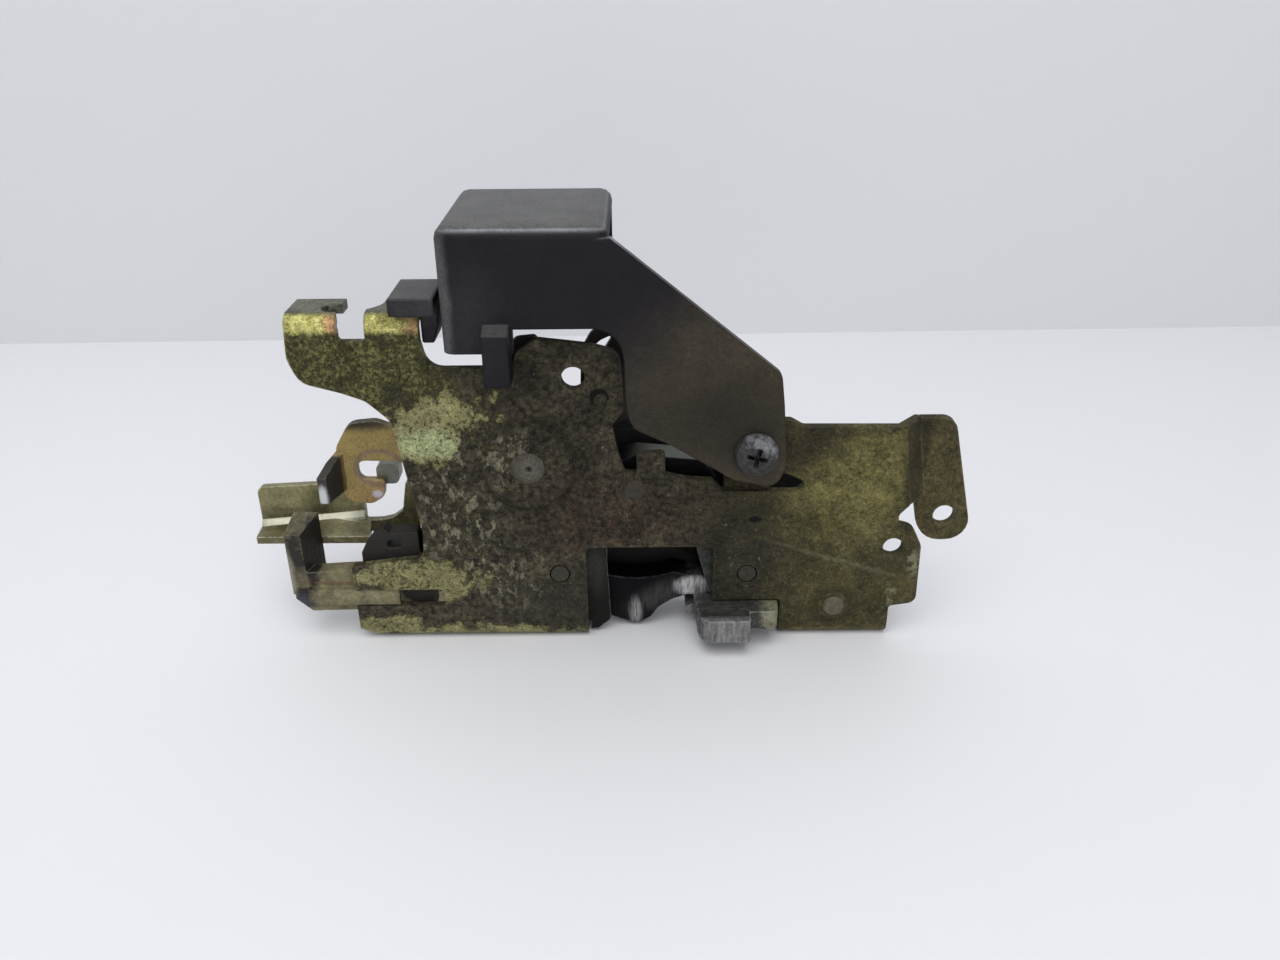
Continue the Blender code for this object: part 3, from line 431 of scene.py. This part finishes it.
plate_paint, tree, shader = new_finish("greasy_olive_chromate")
disc_centre, pawl_pin_centre, claw_pin_centre = (-15.7, 42.8), (50.5, 7.8), (6.5, 37.3)
rough_line = wandering(tree, 0.005, 2.6)
soft_line = wandering(tree, 0.009, 1.6)
arm = near(tree, -50.0, 65.5, 26.0, 10.5, 0.45, rough_line)
cream = together(
    tree,
    (near(tree, -33.8, 52.2, 12.0, 5.4, 0.35, rough_line, -12.0), 0.82),
    (near(tree, -37.8, 47.2, 5.5, 4.8, 0.45, rough_line), 0.9),
)
mottled = near(tree, -32.5, 32.0, 6.5, 15.0, 0.6, rough_line)
low_left = near(tree, -43.0, 15.4, 16.0, 5.6, 0.35, rough_line)
foot = reckon(
    tree, "MAXIMUM", near(tree, -31.0, 0.4, 29.0, 3.0, 0.4, rough_line),
    near(tree, -50.0, 3.0, 12.0, 3.4, 0.5, rough_line),
)
disc_flecks = near(tree, -19.4, 45.6, 4.4, 5.0, 0.7, rough_line)
right = near(tree, 53.0, 37.5, 13.0, 12.5, 0.7, soft_line)
dark_corner = near(tree, 40.0, 47.0, 9.0, 5.5, 0.6, soft_line)
low_right = near(tree, 52.0, 10.0, 20.0, 9.0, 0.7, soft_line)
joggle = near(tree, 66.0, 41.5, 2.4, 11.0, 0.6, soft_line)
ears = near(tree, 74.0, 36.0, 7.0, 16.0, 0.5, soft_line)
foot_right = near(tree, 48.0, 0.8, 16.0, 1.1, 0.6, rough_line)
clean = together(
    tree, (arm, 0.72), (cream, 1.0), (mottled, 0.34), (low_left, 0.86), (foot, 0.94),
    (disc_flecks, 0.3), (foot_right, 0.55),
)
rear = along(tree, split(tree, "Normal")["Y"], 0.3, 0.6)
clean = blend(tree, rear, clean, 0.55)
crusts = fleck(tree, reckon(tree, "SUBTRACT", 1.0, clean), 0.0034, 0.07)
small_crusts = fleck(tree, between(tree, clean, 0.9, 0.2), 0.001, 0.13)
grime = reckon(tree, "MAXIMUM", crusts, times(tree, small_crusts, 0.8))

# the right end carries a thin film of soot instead of crusts
haze = fleck(tree, 0.5, 0.003, 0.3)
bared = together(tree, (right, 0.97), (low_right, 0.24), (ears, 0.6), (foot_right, 0.5))
# at the joggle bend, and in the upper left corner of the right end, less of the film is cleared,
# so these come out darker; at the joggle this is painted shade
bared = less(tree, bared, together(tree, (joggle, 0.95), (dark_corner, 0.5)))
bared = times(tree, bared, between(tree, haze, 0.55, 1.0))
smoke = reckon(tree, "SUBTRACT", 1.0, bared)
soot = fleck(tree, between(tree, smoke, 0.16, 0.95), 0.001, 0.3, shift=(0.9, 0.3, 0.6))
smoke = reckon(tree, "ADD", times(tree, smoke, 0.5), times(tree, soot, 0.5))
where = split(tree)
to_right = along(tree, where["X"], 0.014, 0.034)
grime = blend(tree, to_right, grime, smoke)

# plating: olive, cream where it was rubbed clean, pale green in the patch, brown on the ear
front = reckon(tree, "SUBTRACT", 1.0, rear)
rubbed_clean = together(tree, (cream, 1.0), (low_left, 0.8), (foot, 0.9))
green = near(tree, -35.5, 48.4, 5.4, 2.8, 0.6, rough_line)
tarnish = fleck(tree, 0.38, 0.004, 0.25, shift=(0.3, 0.1, 0.2))
colour = over(tree, rubbed_clean, "68643f", "8b8760", front)
colour = over(tree, green, colour, "a3ab7e", front)
colour = over(tree, to_right, colour, over(tree, ears, "7d7748", "695f3f"))
colour = over(tree, tarnish, colour, "4f4c2f", 0.45)

# the bends of the cable tabs keep their gold plating, pinkish at the right ends; its bright
# streaks are painted glints
bend = along(tree, where["Z"], 0.0718, 0.0731)
bend_top = along(tree, where["Y"], -0.0117, -0.0103)
pink = together(
    tree, (near(tree, -52.7, 74.0, 1.4, 3.0, 0.9, rough_line), 0.9),
    (near(tree, -36.6, 73.6, 2.0, 3.0, 0.9, rough_line), 0.8),
)
# bright streaks in the gold stand in for its reflection: painted glints
painted_glints = fleck(tree, 0.62, 0.0016, 0.35, stretch=(1.0, 0.5, 0.5))
gold = over(tree, pink, over(tree, painted_glints, "84803f", "cfca80"), "b98b68")
colour = over(tree, less(tree, bend, bend_top), colour, gold)
colour = over(tree, bend, colour, over(tree, haze, "757869", "57564a"), bend_top)

# dried road dirt: lumpy and brown-grey, with a few reddish and pale specks
lumps = use(tree, pebbles, size=0.0011)["Height"]
# the dirt is painted darker in the hollows between its lumps and lighter on their tops, as painted
# shade of its relief
shade = along(tree, lumps, 0.0, 0.42)
drift = fleck(tree, 0.5, 0.008, 0.35, shift=(0.1, 0.4, 0.0))
dirt = shaded(tree, over(tree, drift, "2f2c23", "4f4838"), between(tree, shade, 0.36, 1.66))
reddish = near(tree, 1.0, 30.0, 14.0, 8.0, 0.8, rough_line)
red_specks = fleck(tree, 0.36, 0.0012, 0.1, shift=(0.5, 0.5, 0.1))
dirt = over(tree, reddish, dirt, "5f4537", between(tree, red_specks, 0.06, 0.75))
low_dirt = near(tree, 27.0, 14.0, 13.0, 15.0, 0.5, soft_line)
low_mid = near(tree, -8.0, 9.0, 15.0, 9.0, 0.5, soft_line)
for covered, damp, dry, share in (
    (arm, "3f3d24", "545236", 1.0),
    (to_right, "322f1d", "413b27", 1.0),
    (low_dirt, "25241c", "343027", 0.85),
    (low_mid, "2a2921", "38352c", 0.75),
):
    dirt = over(tree, covered, dirt, over(tree, haze, damp, dry), share)
specks = fleck(tree, 0.16, 0.0012, 0.05, shift=(0.2, 0.2, 0.5))
dirt = over(tree, specks, dirt, "8d8575", 0.5)
crumb_cover = between(tree, disc_flecks, 0.38, 0.46)
crumbs = fleck(
    tree, crumb_cover, 0.0018, 0.05, shift=(0.7, 0.2, 0.1), stretch=(1.0, 1.0, 0.6)
)
crumb_place = together(
    tree, (near(tree, -32.0, 33.0, 8.5, 17.0, 0.5, rough_line), 0.8), (disc_flecks, 0.75),
    (near(tree, -24.0, 16.5, 9.0, 8.0, 0.7, rough_line), 0.5),
)
dirt = over(tree, crumbs, dirt, "949077", crumb_place)
grime = less(tree, grime, times(tree, bend, 0.85))
colour = over(tree, grime, colour, dirt)
colour = speckled(tree, colour, 0.4, light=1.06)

# ring round the raised disc, crescent punch mark, small dent and a long light scratch
halo = less(
    tree, near(tree, *pawl_pin_centre, 5.0, 5.0, 0.3), near(tree, *pawl_pin_centre, 3.4, 3.4, 0.1)
)
colour = over(tree, halo, colour, "1f1d14", 0.5)
ring = less(
    tree, near(tree, *disc_centre, 10.9, 10.9, 0.1), near(tree, *disc_centre, 9.4, 9.4, 0.14)
)
colour = over(tree, ring, colour, "1d1a15", 0.5)
scratch = near(tree, 50.5, 19.6, 12.5, 0.5, 0.9, wandering(tree, 0.002, 2.6), 18.0)
colour = over(tree, scratch, colour, "918c70", 0.22)
crescent = less(
    tree, near(tree, -0.6, 58.3, 1.9, 1.9, 0.12), near(tree, -0.3, 57.5, 1.5, 1.6, 0.2)
)
pits = reckon(tree, "MAXIMUM", crescent, near(tree, 32.1, 29.8, 1.2, 0.6, 0.5))
colour = over(tree, pits, colour, "100e0c")

# plating chipped pale beside the ear's hole, edges rubbed light at the clean places, and a painted
# highlight along the left edges of the arm and along the bottom edge
chips = together(
    tree, (near(tree, 67.2, 18.7, 1.5, 2.8, 0.8, rough_line), 0.9),
    (near(tree, 62.8, 10.2, 1.1, 2.4, 0.8, rough_line), 0.9),
)
chips = times(tree, chips, fleck(tree, 0.5, 0.0014, 0.1, shift=(0.4, 0.4, 0.2)))
colour = over(tree, chips, colour, "9a967c", 0.7)
# the left edges of the arm and the bottom edge carry a painted highlight
edge_highlight_place = together(
    tree, (near(tree, -68.0, 66.0, 9.0, 14.0, 0.2), 1.0),
    (near(tree, -40.0, 0.0, 30.0, 2.0, 0.4), 0.8),
)
rubbed_and_highlight_share = together(
    tree, (edge_highlight_place, 1.0), (cream, 1.0), (low_left, 0.8), (right, 0.35), (ears, 0.5),
    (foot_right, 0.8), (mottled, 0.4),
)
edge = use(tree, rubbed, width=0.0006, rub=1.0)
rubbed_and_highlight_tone = over(tree, edge_highlight_place, "b0ab85", "e0dd97")
colour = over(tree, edge["Mask"], colour, rubbed_and_highlight_tone, reckon(tree, "MAXIMUM", rubbed_and_highlight_share, 0.12))

# crusts stand proud; the right end and the foot are smoother, and pits go in
fine = noise(tree, reading(tree), 1700.0, 3.0)
height = reckon(tree, "ADD", lumps, times(tree, fine, 0.45))
for smoothing in (
    between(tree, grime, 0.15, 1.0),
    between(tree, where["Z"], 0.4, 1.0, 0.016, 0.03),
    between(tree, to_right, 1.0, 0.35),
):
    height = times(tree, height, smoothing)
sunk = reckon(tree, "ADD", pits, times(tree, ring, 0.5))
height = reckon(tree, "SUBTRACT", height, sunk)
feed(
    tree, shader, base_color=colour, normal=relief(tree, height, 0.0024, edge["Normal"]),
    roughness=between(tree, grime, 0.42, 0.75), metallic=between(tree, grime, 0.5, 0.0),
)
shader.inputs["Specular IOR Level"].default_value = 0.22
dress("lock_plate", "stamped_plate", plate_paint, "frame", "olive_chromate", 0.0003)


# Striker guide and its two pins: a grey zinc-plated sheet riveted flush through the plate.
# The pins' dirty finish also goes on the claw's and the pawl's pins.
guide_paint, tree, shader = new_finish("dull_grey_zinc")
edge = use(tree, rubbed, width=0.0003, rub=0.8)
film = fleck(tree, 0.7, 0.0015, 0.4)
line = wandering(tree, 0.004, 0.8)
# inside the throat the sheet is painted dark as shade, most on the left and near the bottom, with
# a soft painted highlight high on the left
painted_low_shade = near(tree, 7.0, 3.0, 16.0, 9.0, 0.6, wandering(tree, 0.004, 1.0))
painted_left_shade = near(tree, -1.0, 9.0, 4.6, 18.0, 0.5, line)
painted_sheen = near(tree, -2.6, 17.0, 2.4, 5.4, 0.7, line)
colour = over(tree, film, "54554f", "30312d")
colour = over(tree, painted_low_shade, colour, "1f1d19", 0.6)
colour = over(tree, painted_left_shade, colour, "100f0c")
colour = over(tree, painted_sheen, colour, "3b3b36", 0.6)
colour = over(tree, edge["Mask"], speckled(tree, colour, 0.2), "8c8d86")
feed(
    tree, shader, base_color=colour, normal=pebbly(tree, 0.0009, 0.00012, edge["Normal"]),
    roughness=between(tree, film, 0.5, 0.7), metallic=between(tree, painted_left_shade, 0.25, 0.0),
)
shader.inputs["Specular IOR Level"].default_value = 0.2
dress("striker_guide", "guide_sheet", guide_paint, "frame", "grey_zinc")

pin_paint, tree, shader = new_finish("dirty_flush_pin")
crust = fleck(tree, 0.5, 0.0012, 0.4)
cleaner = near(tree, *pawl_pin_centre, 4.0, 4.0, 0.2)
buried = near(tree, *claw_pin_centre, 4.0, 4.0, 0.2)
colour = over(tree, fleck(tree, 0.6, 0.0012, 0.3), "403c30", "2b281f")
colour = over(tree, cleaner, colour, over(tree, crust, "6a6752", "4a4838"))
colour = over(tree, buried, colour, over(tree, crust, "3b3428", "26211a"))
bump = pebbly(tree, 0.0007, 0.0004)
feed(tree, shader, base_color=colour, normal=bump, metallic=0.05, roughness=0.65)
for node in ("guide_pin_left", "guide_pin_right"):
    dress(node, node + "_rivet", pin_paint, "frame", "grey_zinc", 0.0001)


# Claw and its pin: a thick forked plate of oiled blue-black steel, worn bright at the corner that
# the striker rubs and along its nose's ridge, which also carries a painted highlight; the upward
# faces inside the throat are painted black as shade.
claw_paint, tree, shader = new_finish("oiled_black_steel")
edge = use(tree, rubbed, width=0.0006, rub=0.7)
smear = fleck(tree, 0.5, 0.003, 0.5)
colour = over(tree, smear, "060507", "0f0d11")
line = wandering(tree, 0.002, 0.5)
# the facet is worn bright; the nose's ridge is wear with a painted highlight over it
worn_and_ridge_highlight = together(
    tree, (near(tree, 19.4, 10.5, 4.0, 2.4, 0.35, line), 1.0),
    (near(tree, 6.3, 3.6, 1.1, 2.8, 0.95, line), 0.6),
    (near(tree, 11.5, 8.0, 6.5, 2.6, 0.8, line, -28.0), 0.07),
)
# upward faces of the seat inside the throat are painted black as shade
seat = times(tree, facing_up(tree, 0.1), near(tree, 10.0, 18.0, 16.0, 12.0, 0.2))
scores = fleck(tree, 0.4, 0.0005, 0.2, stretch=(1.0, 1.0, 0.12))
# upward faces at the claw's top end are painted pale grey
pale_top = near(tree, 17.0, 42.0, 9.0, 6.0, 0.5)
colour = over(tree, seat, colour, "050405", 0.9)
colour = over(tree, worn_and_ridge_highlight, colour, over(tree, scores, "d6d5d5", "7c7a7b"))
colour = over(tree, facing_up(tree, 0.5), colour, "767971", pale_top)
colour = over(tree, edge["Mask"], colour, "5b575e")
feed(
    tree, shader, base_color=colour, normal=pebbly(tree, 0.001, 0.00015, edge["Normal"]),
    metallic=between(tree, worn_and_ridge_highlight, 0.0, 0.7), roughness=between(tree, smear, 0.42, 0.6),
)
shader.inputs["Specular IOR Level"].default_value = 0.08
dress("claw", "forked_claw", claw_paint, "claw", "dark_steel", 0.0006, 3)
dress("claw_pin", "claw_pivot_pin", pin_paint, "frame", "bare_steel", 0.0001)


# Pawl and its pin: a steel bar whose end tab is bent forward through the notch; the lip is
# rubbed bright and the tab is dark with grease.
pawl_paint, tree, shader = new_finish("greased_bare_steel")
edge = use(tree, rubbed, width=0.0005, rub=1.0)
film = fleck(tree, 0.65, 0.002, 0.4)
lip = along(tree, split(tree)["Y"], -0.0190, -0.0203)
streak = fleck(tree, 0.45, 0.0006, 0.3, stretch=(1.0, 1.0, 0.1))
cream_end = near(tree, 36.8, 7.4, 2.6, 2.6, 0.6, wandering(tree, 0.0014, 3.4))
flank = near(tree, 17.0, 4.0, 2.6, 5.0, 0.6, wandering(tree, 0.002, 1.6))
colour = over(tree, film, "5b5b58", "32312e")
colour = over(tree, lip, colour, over(tree, streak, "8c8c8a", "4f4f50"))
colour = over(tree, cream_end, colour, "8f8d72")
colour = over(tree, flank, colour, "8c8c8a", 0.6)
colour = over(tree, edge["Mask"], speckled(tree, colour, 0.22), "aaabab")
feed(
    tree, shader, base_color=colour, normal=pebbly(tree, 0.0012, 0.0003, edge["Normal"]),
    metallic=0.4, roughness=between(tree, film, 0.38, 0.6),
)
dress("pawl", "pawl_bar", pawl_paint, "pawl", "bare_steel")
dress("pawl_pin", "pawl_rivet", pin_paint, "frame", "bare_steel", 0.0001)


# Main pivot: a turned stud riveted in the raised disc, under the same dirt as the plate,
# with a small dark dimple in its middle.
pivot_paint, tree, shader = new_finish("dirty_stud")
middle = near(tree, -15.5, 43.1, 2.8, 2.8, 0.7, wandering(tree, 0.002, 1.2))
colour = over(tree, fleck(tree, 0.5, 0.0014, 0.2), "443e31", "2d281e")
colour = over(tree, middle, colour, "7a776c", 0.3)
colour = over(tree, near(tree, -15.5, 43.0, 0.6, 0.6, 0.4), colour, "1a1814")
colour = speckled(tree, colour, 0.4)
feed(tree, shader, base_color=colour, normal=pebbly(tree, 0.0009, 0.0006), roughness=0.75)
dress("main_pivot", "pivot_stud", pivot_paint, "frame", "bare_steel", 0.0001)


# Release lever: gold-plated stamping with a hooked head and a flange bent to the front. The flange
# and the arm behind the plate are painted dark as shade, the flange's tip carries a painted
# highlight, and a small painted glint sits in a dimple.
gold_paint, tree, shader = new_finish("gold_chromate")
edge = use(tree, rubbed, width=0.0004, rub=0.9)
film = fleck(tree, 0.45, 0.004, 0.7)
line = wandering(tree, 0.003, 0.8)
where = split(tree)
lobe = near(tree, -52.5, 30.0, 5.0, 3.2, 0.6, line)
violet = less(
    tree, near(tree, -50.5, 36.5, 5.6, 4.6, 0.15), near(tree, -50.5, 36.5, 4.9, 3.9, 0.15)
)
colour = over(tree, film, "a69159", "867444")
colour = over(tree, lobe, colour, "ab8763", 0.35)
colour = over(tree, violet, colour, "5b4364", 0.6)
colour = speckled(tree, colour, 0.2)
colour = over(tree, fleck(tree, 0.26, 0.0006, 0.08), colour, "41372a")
# a small painted glint in the dimple
colour = over(tree, near(tree, -51.6, 30.0, 1.1, 0.9, 0.5), colour, "c9c2cc")
flange = along(tree, where["Y"], -0.0006, -0.0014)
flange_tip = along(tree, where["Y"], -0.0050, -0.0060)
tip_highlight = near(tree, -61.9, 32.6, 1.0, 2.6, 0.5, line)
arm_zone = along(tree, where["X"], -0.036, -0.028)
# the flange is painted dark as shade
colour = over(tree, flange, colour, over(tree, film, "35312a", "1f1c16"))
# the lit end edge of the flange's tip carries a painted highlight
colour = over(tree, flange_tip, colour, "c6c6c8", tip_highlight)
colour = over(tree, near(tree, -54.0, 47.2, 8.0, 1.4, 0.7, line), colour, "39301f")
colour = over(tree, edge["Mask"], colour, "b7b3a4", between(tree, flange, 1.0, 0.3))
# the arm behind the plate is painted dark as shade
colour = over(tree, arm_zone, colour, over(tree, film, "1a1713", "2a261e"))
feed(
    tree, shader, base_color=colour, normal=pebbly(tree, 0.0012, 0.00008, edge["Normal"]),
    metallic=between(tree, flange, 0.5, 0.0), roughness=between(tree, flange, 0.42, 0.6),
)
dress("release_lever", "release_hook", gold_paint, "release_lever", "gold_chromate")


# Inside lever: olive-plated angle bar, cleaner than the plate, with light worn edges and a painted
# highlight along its bend.
bar_paint, tree, shader = new_finish("olive_lever_chromate")
edge = use(tree, rubbed, width=0.0004, rub=1.0)
film = fleck(tree, 0.5, 0.002, 0.5)
clots = fleck(tree, 0.5, 0.003, 0.3)
low = between(tree, split(tree)["Z"], 0.12, 0.5, 0.0266, 0.0252)
colour = over(tree, film, "989268", "706b4a")
colour = over(tree, low, colour, "343022", between(tree, clots, 0.5, 1.3))
colour = speckled(tree, colour, 0.2)
colour = over(tree, fleck(tree, 0.2, 0.0006, 0.1), colour, "3f3c2b")
colour = over(tree, edge["Mask"], colour, "d0cfb4")
# a painted highlight along the rounded bend
bend = less(tree, facing_up(tree, 0.3), facing_up(tree, 0.7))
colour = over(tree, bend, colour, "e9e7d2", near(tree, -68.0, 27.0, 13.0, 12.0, 0.2))
bump = pebbly(tree, 0.0012, 0.0001, edge["Normal"])
feed(tree, shader, base_color=colour, normal=bump, metallic=0.45, roughness=0.34)
dress("inside_lever", "inside_bar", bar_paint, "inside_lever", "olive_chromate", 0.0003)


# Outside lever: plain dark stamping with two horns under the hood, kept from the road dirt
# by the plate in front of it.
horn_paint, tree, shader = new_finish("dark_horn_steel")
edge = use(tree, rubbed, width=0.0003, rub=0.6)
colour = over(tree, fleck(tree, 0.5, 0.002, 0.5), "2b2724", "3a3531")
colour = over(tree, edge["Mask"], colour, "5d5954")
bump = pebbly(tree, 0.0012, 0.00015, edge["Normal"])
feed(tree, shader, base_color=colour, normal=bump, metallic=0.35, roughness=0.5)
dress("outside_lever", "outside_horns", horn_paint, "outside_lever", "dark_steel")


# Springs: drawn steel wire wound round the claw's pin, the pawl's pin and the main stud,
# each fixed to the frame.
wire_paint, tree, shader = new_finish("spring_wire")
drawn = fleck(tree, 0.5, 0.0006, 0.4)
feed(
    tree, shader, base_color=over(tree, drawn, "8a8a8c", "55534f"), metallic=0.8,
    roughness=between(tree, drawn, 0.3, 0.5),
)
for node in ("claw_spring", "pawl_spring", "release_spring"):
    dress(node, node + "_wire", wire_paint, "frame", "spring_steel")


# Rod bush: white nylon block clipped behind the release lever's hook, stained grey by
# handling.
bush_paint, tree, shader = new_finish("white_nylon")
stain = fleck(tree, 0.5, 0.002, 0.6)
feed(tree, shader, base_color=over(tree, stain, "8f9086", "5d5c50"), roughness=0.4)
dress("rod_bush", "rod_bush_block", bush_paint, "release_lever", "white_nylon", 0.0002)


# Lock slide: natural nylon moulding stained brown, running in the plate's open slot, with
# black grease on its tooth and where it slides.
slide_paint, tree, shader = new_finish("stained_nylon")
edge = use(tree, rubbed, width=0.0004, rub=0.6)
line = wandering(tree, 0.003, 1.2)
grease = together(
    tree, (fleck(tree, 0.44, 0.0034, 0.25, stretch=(0.7, 1.0, 1.0)), 0.5),
    (near(tree, -68.5, 9.5, 3.0, 2.6, 0.5, line), 0.9),
    (near(tree, -46.0, 23.0, 8.0, 6.0, 0.3, line), 0.92),
    (near(tree, -40.0, 10.6, 6.0, 3.4, 0.2), 1.0),
    (near(tree, -65.5, 19.0, 1.2, 9.0, 0.6, line), 0.6),
    (near(tree, -67.5, 21.0, 4.5, 6.0, 0.6, line), 0.85),
)
pale_side = near(tree, -71.0, 15.0, 1.3, 7.0, 0.6, line)
red_line = near(tree, -60.5, 13.4, 5.0, 0.3, 0.9, wandering(tree, 0.001, 2.4))
tooth = near(tree, -46.5, 23.0, 10.5, 5.4, 0.15, line)
colour = over(tree, fleck(tree, 0.5, 0.0025, 0.5), "938c69", "635d45")
colour = over(tree, grease, colour, "231f19")
colour = over(tree, pale_side, colour, "a8a48f", 0.6)
colour = speckled(tree, colour, 0.2)
colour = over(tree, red_line, colour, "7c5142", 0.6)
colour = over(tree, tooth, colour, "1e1b17")
colour = over(tree, near(tree, -68.8, 8.4, 2.8, 1.7, 0.6, line), colour, "3a3c45")
colour = over(tree, edge["Mask"], colour, "b0aa92", between(tree, tooth, 0.8, 0.15))
bump = pebbly(tree, 0.001, 0.0002, edge["Normal"])
feed(tree, shader, base_color=colour, normal=bump, roughness=0.55)
shader.inputs["Specular IOR Level"].default_value = 0.35
dress("lock_slide", "nylon_slide", slide_paint, "lock_slide", "stained_nylon")


# Hood and rod clip: black mouldings, grey on top from dust and painted top light, with a painted
# highlight along the hood's front rim; the hood's arm carries the same dirt as the plate.
hood_paint, tree, shader = new_finish("dusty_black_plastic")
edge = use(tree, rubbed, width=0.0008, rub=0.5)
cloud = fleck(tree, 0.5, 0.006, 0.8)
grit = fleck(tree, 0.5, 0.0006, 0.6)
slow_line = wandering(tree, 0.01, 0.8)
line = wandering(tree, 0.006, 0.8)
arm_zone = near(tree, 26.0, 52.0, 24.0, 24.0, 0.5, slow_line)
low_arm = near(tree, 24.0, 54.0, 16.0, 10.0, 0.7, slow_line)
arm_tone = over(
    tree, low_arm, over(tree, grit, "484133", "362f24"), over(tree, grit, "302b21", "221f17")
)
colour = over(tree, cloud, "0e0b12", "17141a")
colour = over(tree, arm_zone, colour, arm_tone)
# upward faces on top are painted grey, as dust and as painted top light
dust = times(tree, facing_up(tree, 0.4), between(tree, cloud, 0.95, 0.7))
hood_top = between(tree, split(tree)["Z"], 0.62, 1.0, 0.082, 0.088)
colour = over(tree, dust, colour, "626261", hood_top)
# edges and the rounding along the front rim carry a painted highlight
rim = near(tree, -14.5, 93.0, 20.0, 4.0, 0.4)
colour = over(tree, edge["Mask"], colour, "70727a", rim)
rim_highlight = less(tree, facing_up(tree, 0.15), facing_up(tree, 0.75))
rim_highlight = times(tree, reckon(tree, "POWER", rim_highlight, 3.0), near(tree, -14.5, 91.0, 19.0, 3.4, 0.3))
colour = over(tree, rim_highlight, colour, over(tree, grit, "b0b2bb", "8a8c94"))
smear = near(tree, -26.0, 76.0, 7.0, 9.0, 0.9, wandering(tree, 0.006, 1.6))
colour = over(tree, smear, colour, "3a383c", 0.3)
dusty_side = near(tree, -30.4, 80.0, 1.7, 17.0, 0.5, line)
colour = over(tree, dusty_side, colour, "5a595a", 0.75)
clip_dust = near(tree, -36.0, 79.0, 6.0, 5.0, 0.5, wandering(tree, 0.004, 0.8))
colour = over(tree, clip_dust, colour, "5c5b5c", 0.22)
colour = speckled(tree, colour, 0.2, 0.0005)
bump = pebbly(tree, 0.0005, 0.00007, edge["Normal"])
feed(tree, shader, base_color=colour, normal=bump, roughness=0.55)
shader.inputs["Specular IOR Level"].default_value = 0.22
dress("hood", "moulded_hood", hood_paint, "frame", "black_plastic")
dress("rod_clip", "rod_clip_block", hood_paint, "frame", "black_plastic")


# Hood screw and nut: zinc-plated pan head with a cross recess, gone grey and rough, with dust and
# a painted highlight on the top of its head and dirt in the recess.
screw_paint, tree, shader = new_finish("weathered_zinc")
edge = use(tree, rubbed, width=0.0003, rub=0.6)
# a pale place of dust and painted highlight on the upper right of the head
crown_dust_and_highlight = near(tree, 33.0, 49.4, 2.8, 1.5, 0.9, wandering(tree, 0.0012, 6.0), 35.0)
recess = near(tree, 31.4, 46.9, 1.7, 1.7, 0.5, wandering(tree, 0.001, 0.8))
colour = over(tree, fleck(tree, 0.5, 0.0009, 0.25), "262526", "3f3e3c")
colour = over(tree, crown_dust_and_highlight, colour, "8b8c8f", 0.65)
colour = over(tree, recess, colour, "151413")
colour = over(tree, edge["Mask"], speckled(tree, colour, 0.3), "77787c")
bump = pebbly(tree, 0.0007, 0.0003, edge["Normal"])
feed(tree, shader, base_color=colour, normal=bump, metallic=0.25, roughness=0.55)
dress("hood_screw", "cross_screw", screw_paint, "frame", "grey_zinc")
dress("hood_nut", "hex_nut", screw_paint, "frame", "grey_zinc")


# Behind the plate: moulded case with a lip over the claw, steel backing plate, lock lever
# and its stud, plainly kept.
case_paint, tree, shader = new_finish("plain_black_moulding")
edge = use(tree, rubbed, width=0.0004, rub=0.4)
colour = over(tree, fleck(tree, 0.5, 0.004, 0.7), "222224", "313031")
colour = over(tree, edge["Mask"], colour, "57575a")
bump = pebbly(tree, 0.0006, 0.00006, edge["Normal"])
feed(tree, shader, base_color=colour, normal=bump, roughness=0.5)
dress("rear_case", "case_moulding", case_paint, "frame", "black_plastic")

lip_middle, lip_sides, lip_corner = (0.0058, 0.0034, 0.0462), (0.0185, 0.0013, 0.0052), 0.0024
lip_place = Matrix.Translation(lip_middle) @ Matrix.Diagonal((*lip_sides, 1.0))
lip_work = bmesh.new()
bmesh.ops.create_cube(lip_work, size=1.0, matrix=lip_place)
top_corners = [
    edge for edge in lip_work.edges
    if abs(edge.verts[0].co.y - edge.verts[1].co.y) > 0.001 and edge.verts[0].co.z > 0.046
]
bmesh.ops.bevel(
    lip_work, geom=top_corners, offset=lip_corner, segments=5, profile=0.5, affect="EDGES",
    material=-1,
)
lip_mesh = bpy.data.meshes.new("case_lip")
lip_work.to_mesh(lip_mesh)
lip_work.free()
lip_mesh.shade_smooth()
lip_mesh.set_sharp_from_angle(angle=crease_angle)
case_lip = bpy.data.objects.new("case_lip", lip_mesh)
scene.collection.objects.link(case_lip)
settle(case_lip, case_paint, "frame", "black_plastic")
dress("lock_lever", "lock_fork", case_paint, "lock_lever", "black_plastic")
dress("lock_stud", "lock_lever_stud", wire_paint, "frame", "bare_steel", 0.0001)

sheet_paint, tree, shader = new_finish("dirty_backing_chromate")
edge = use(tree, rubbed, width=0.0004, rub=0.6)
clean = near(tree, 30.0, 26.0, 34.0, 22.0, 0.6, wandering(tree, 0.008, 0.8))
splashes = fleck(tree, 0.45, 0.0012, 0.2, shift=(0.2, 0.1, 0.4))
colour = over(tree, fleck(tree, 0.5, 0.002, 0.3), "6a6744", "4b4833")
colour = over(tree, splashes, colour, "2f2b25", 0.8)
colour = over(tree, edge["Mask"], colour, "a8a47c", clean)
bump = pebbly(tree, 0.0012, 0.0002, edge["Normal"])
feed(tree, shader, base_color=colour, normal=bump, metallic=0.25, roughness=0.55)
dress("back_plate", "backing_sheet", sheet_paint, "frame", "olive_chromate")
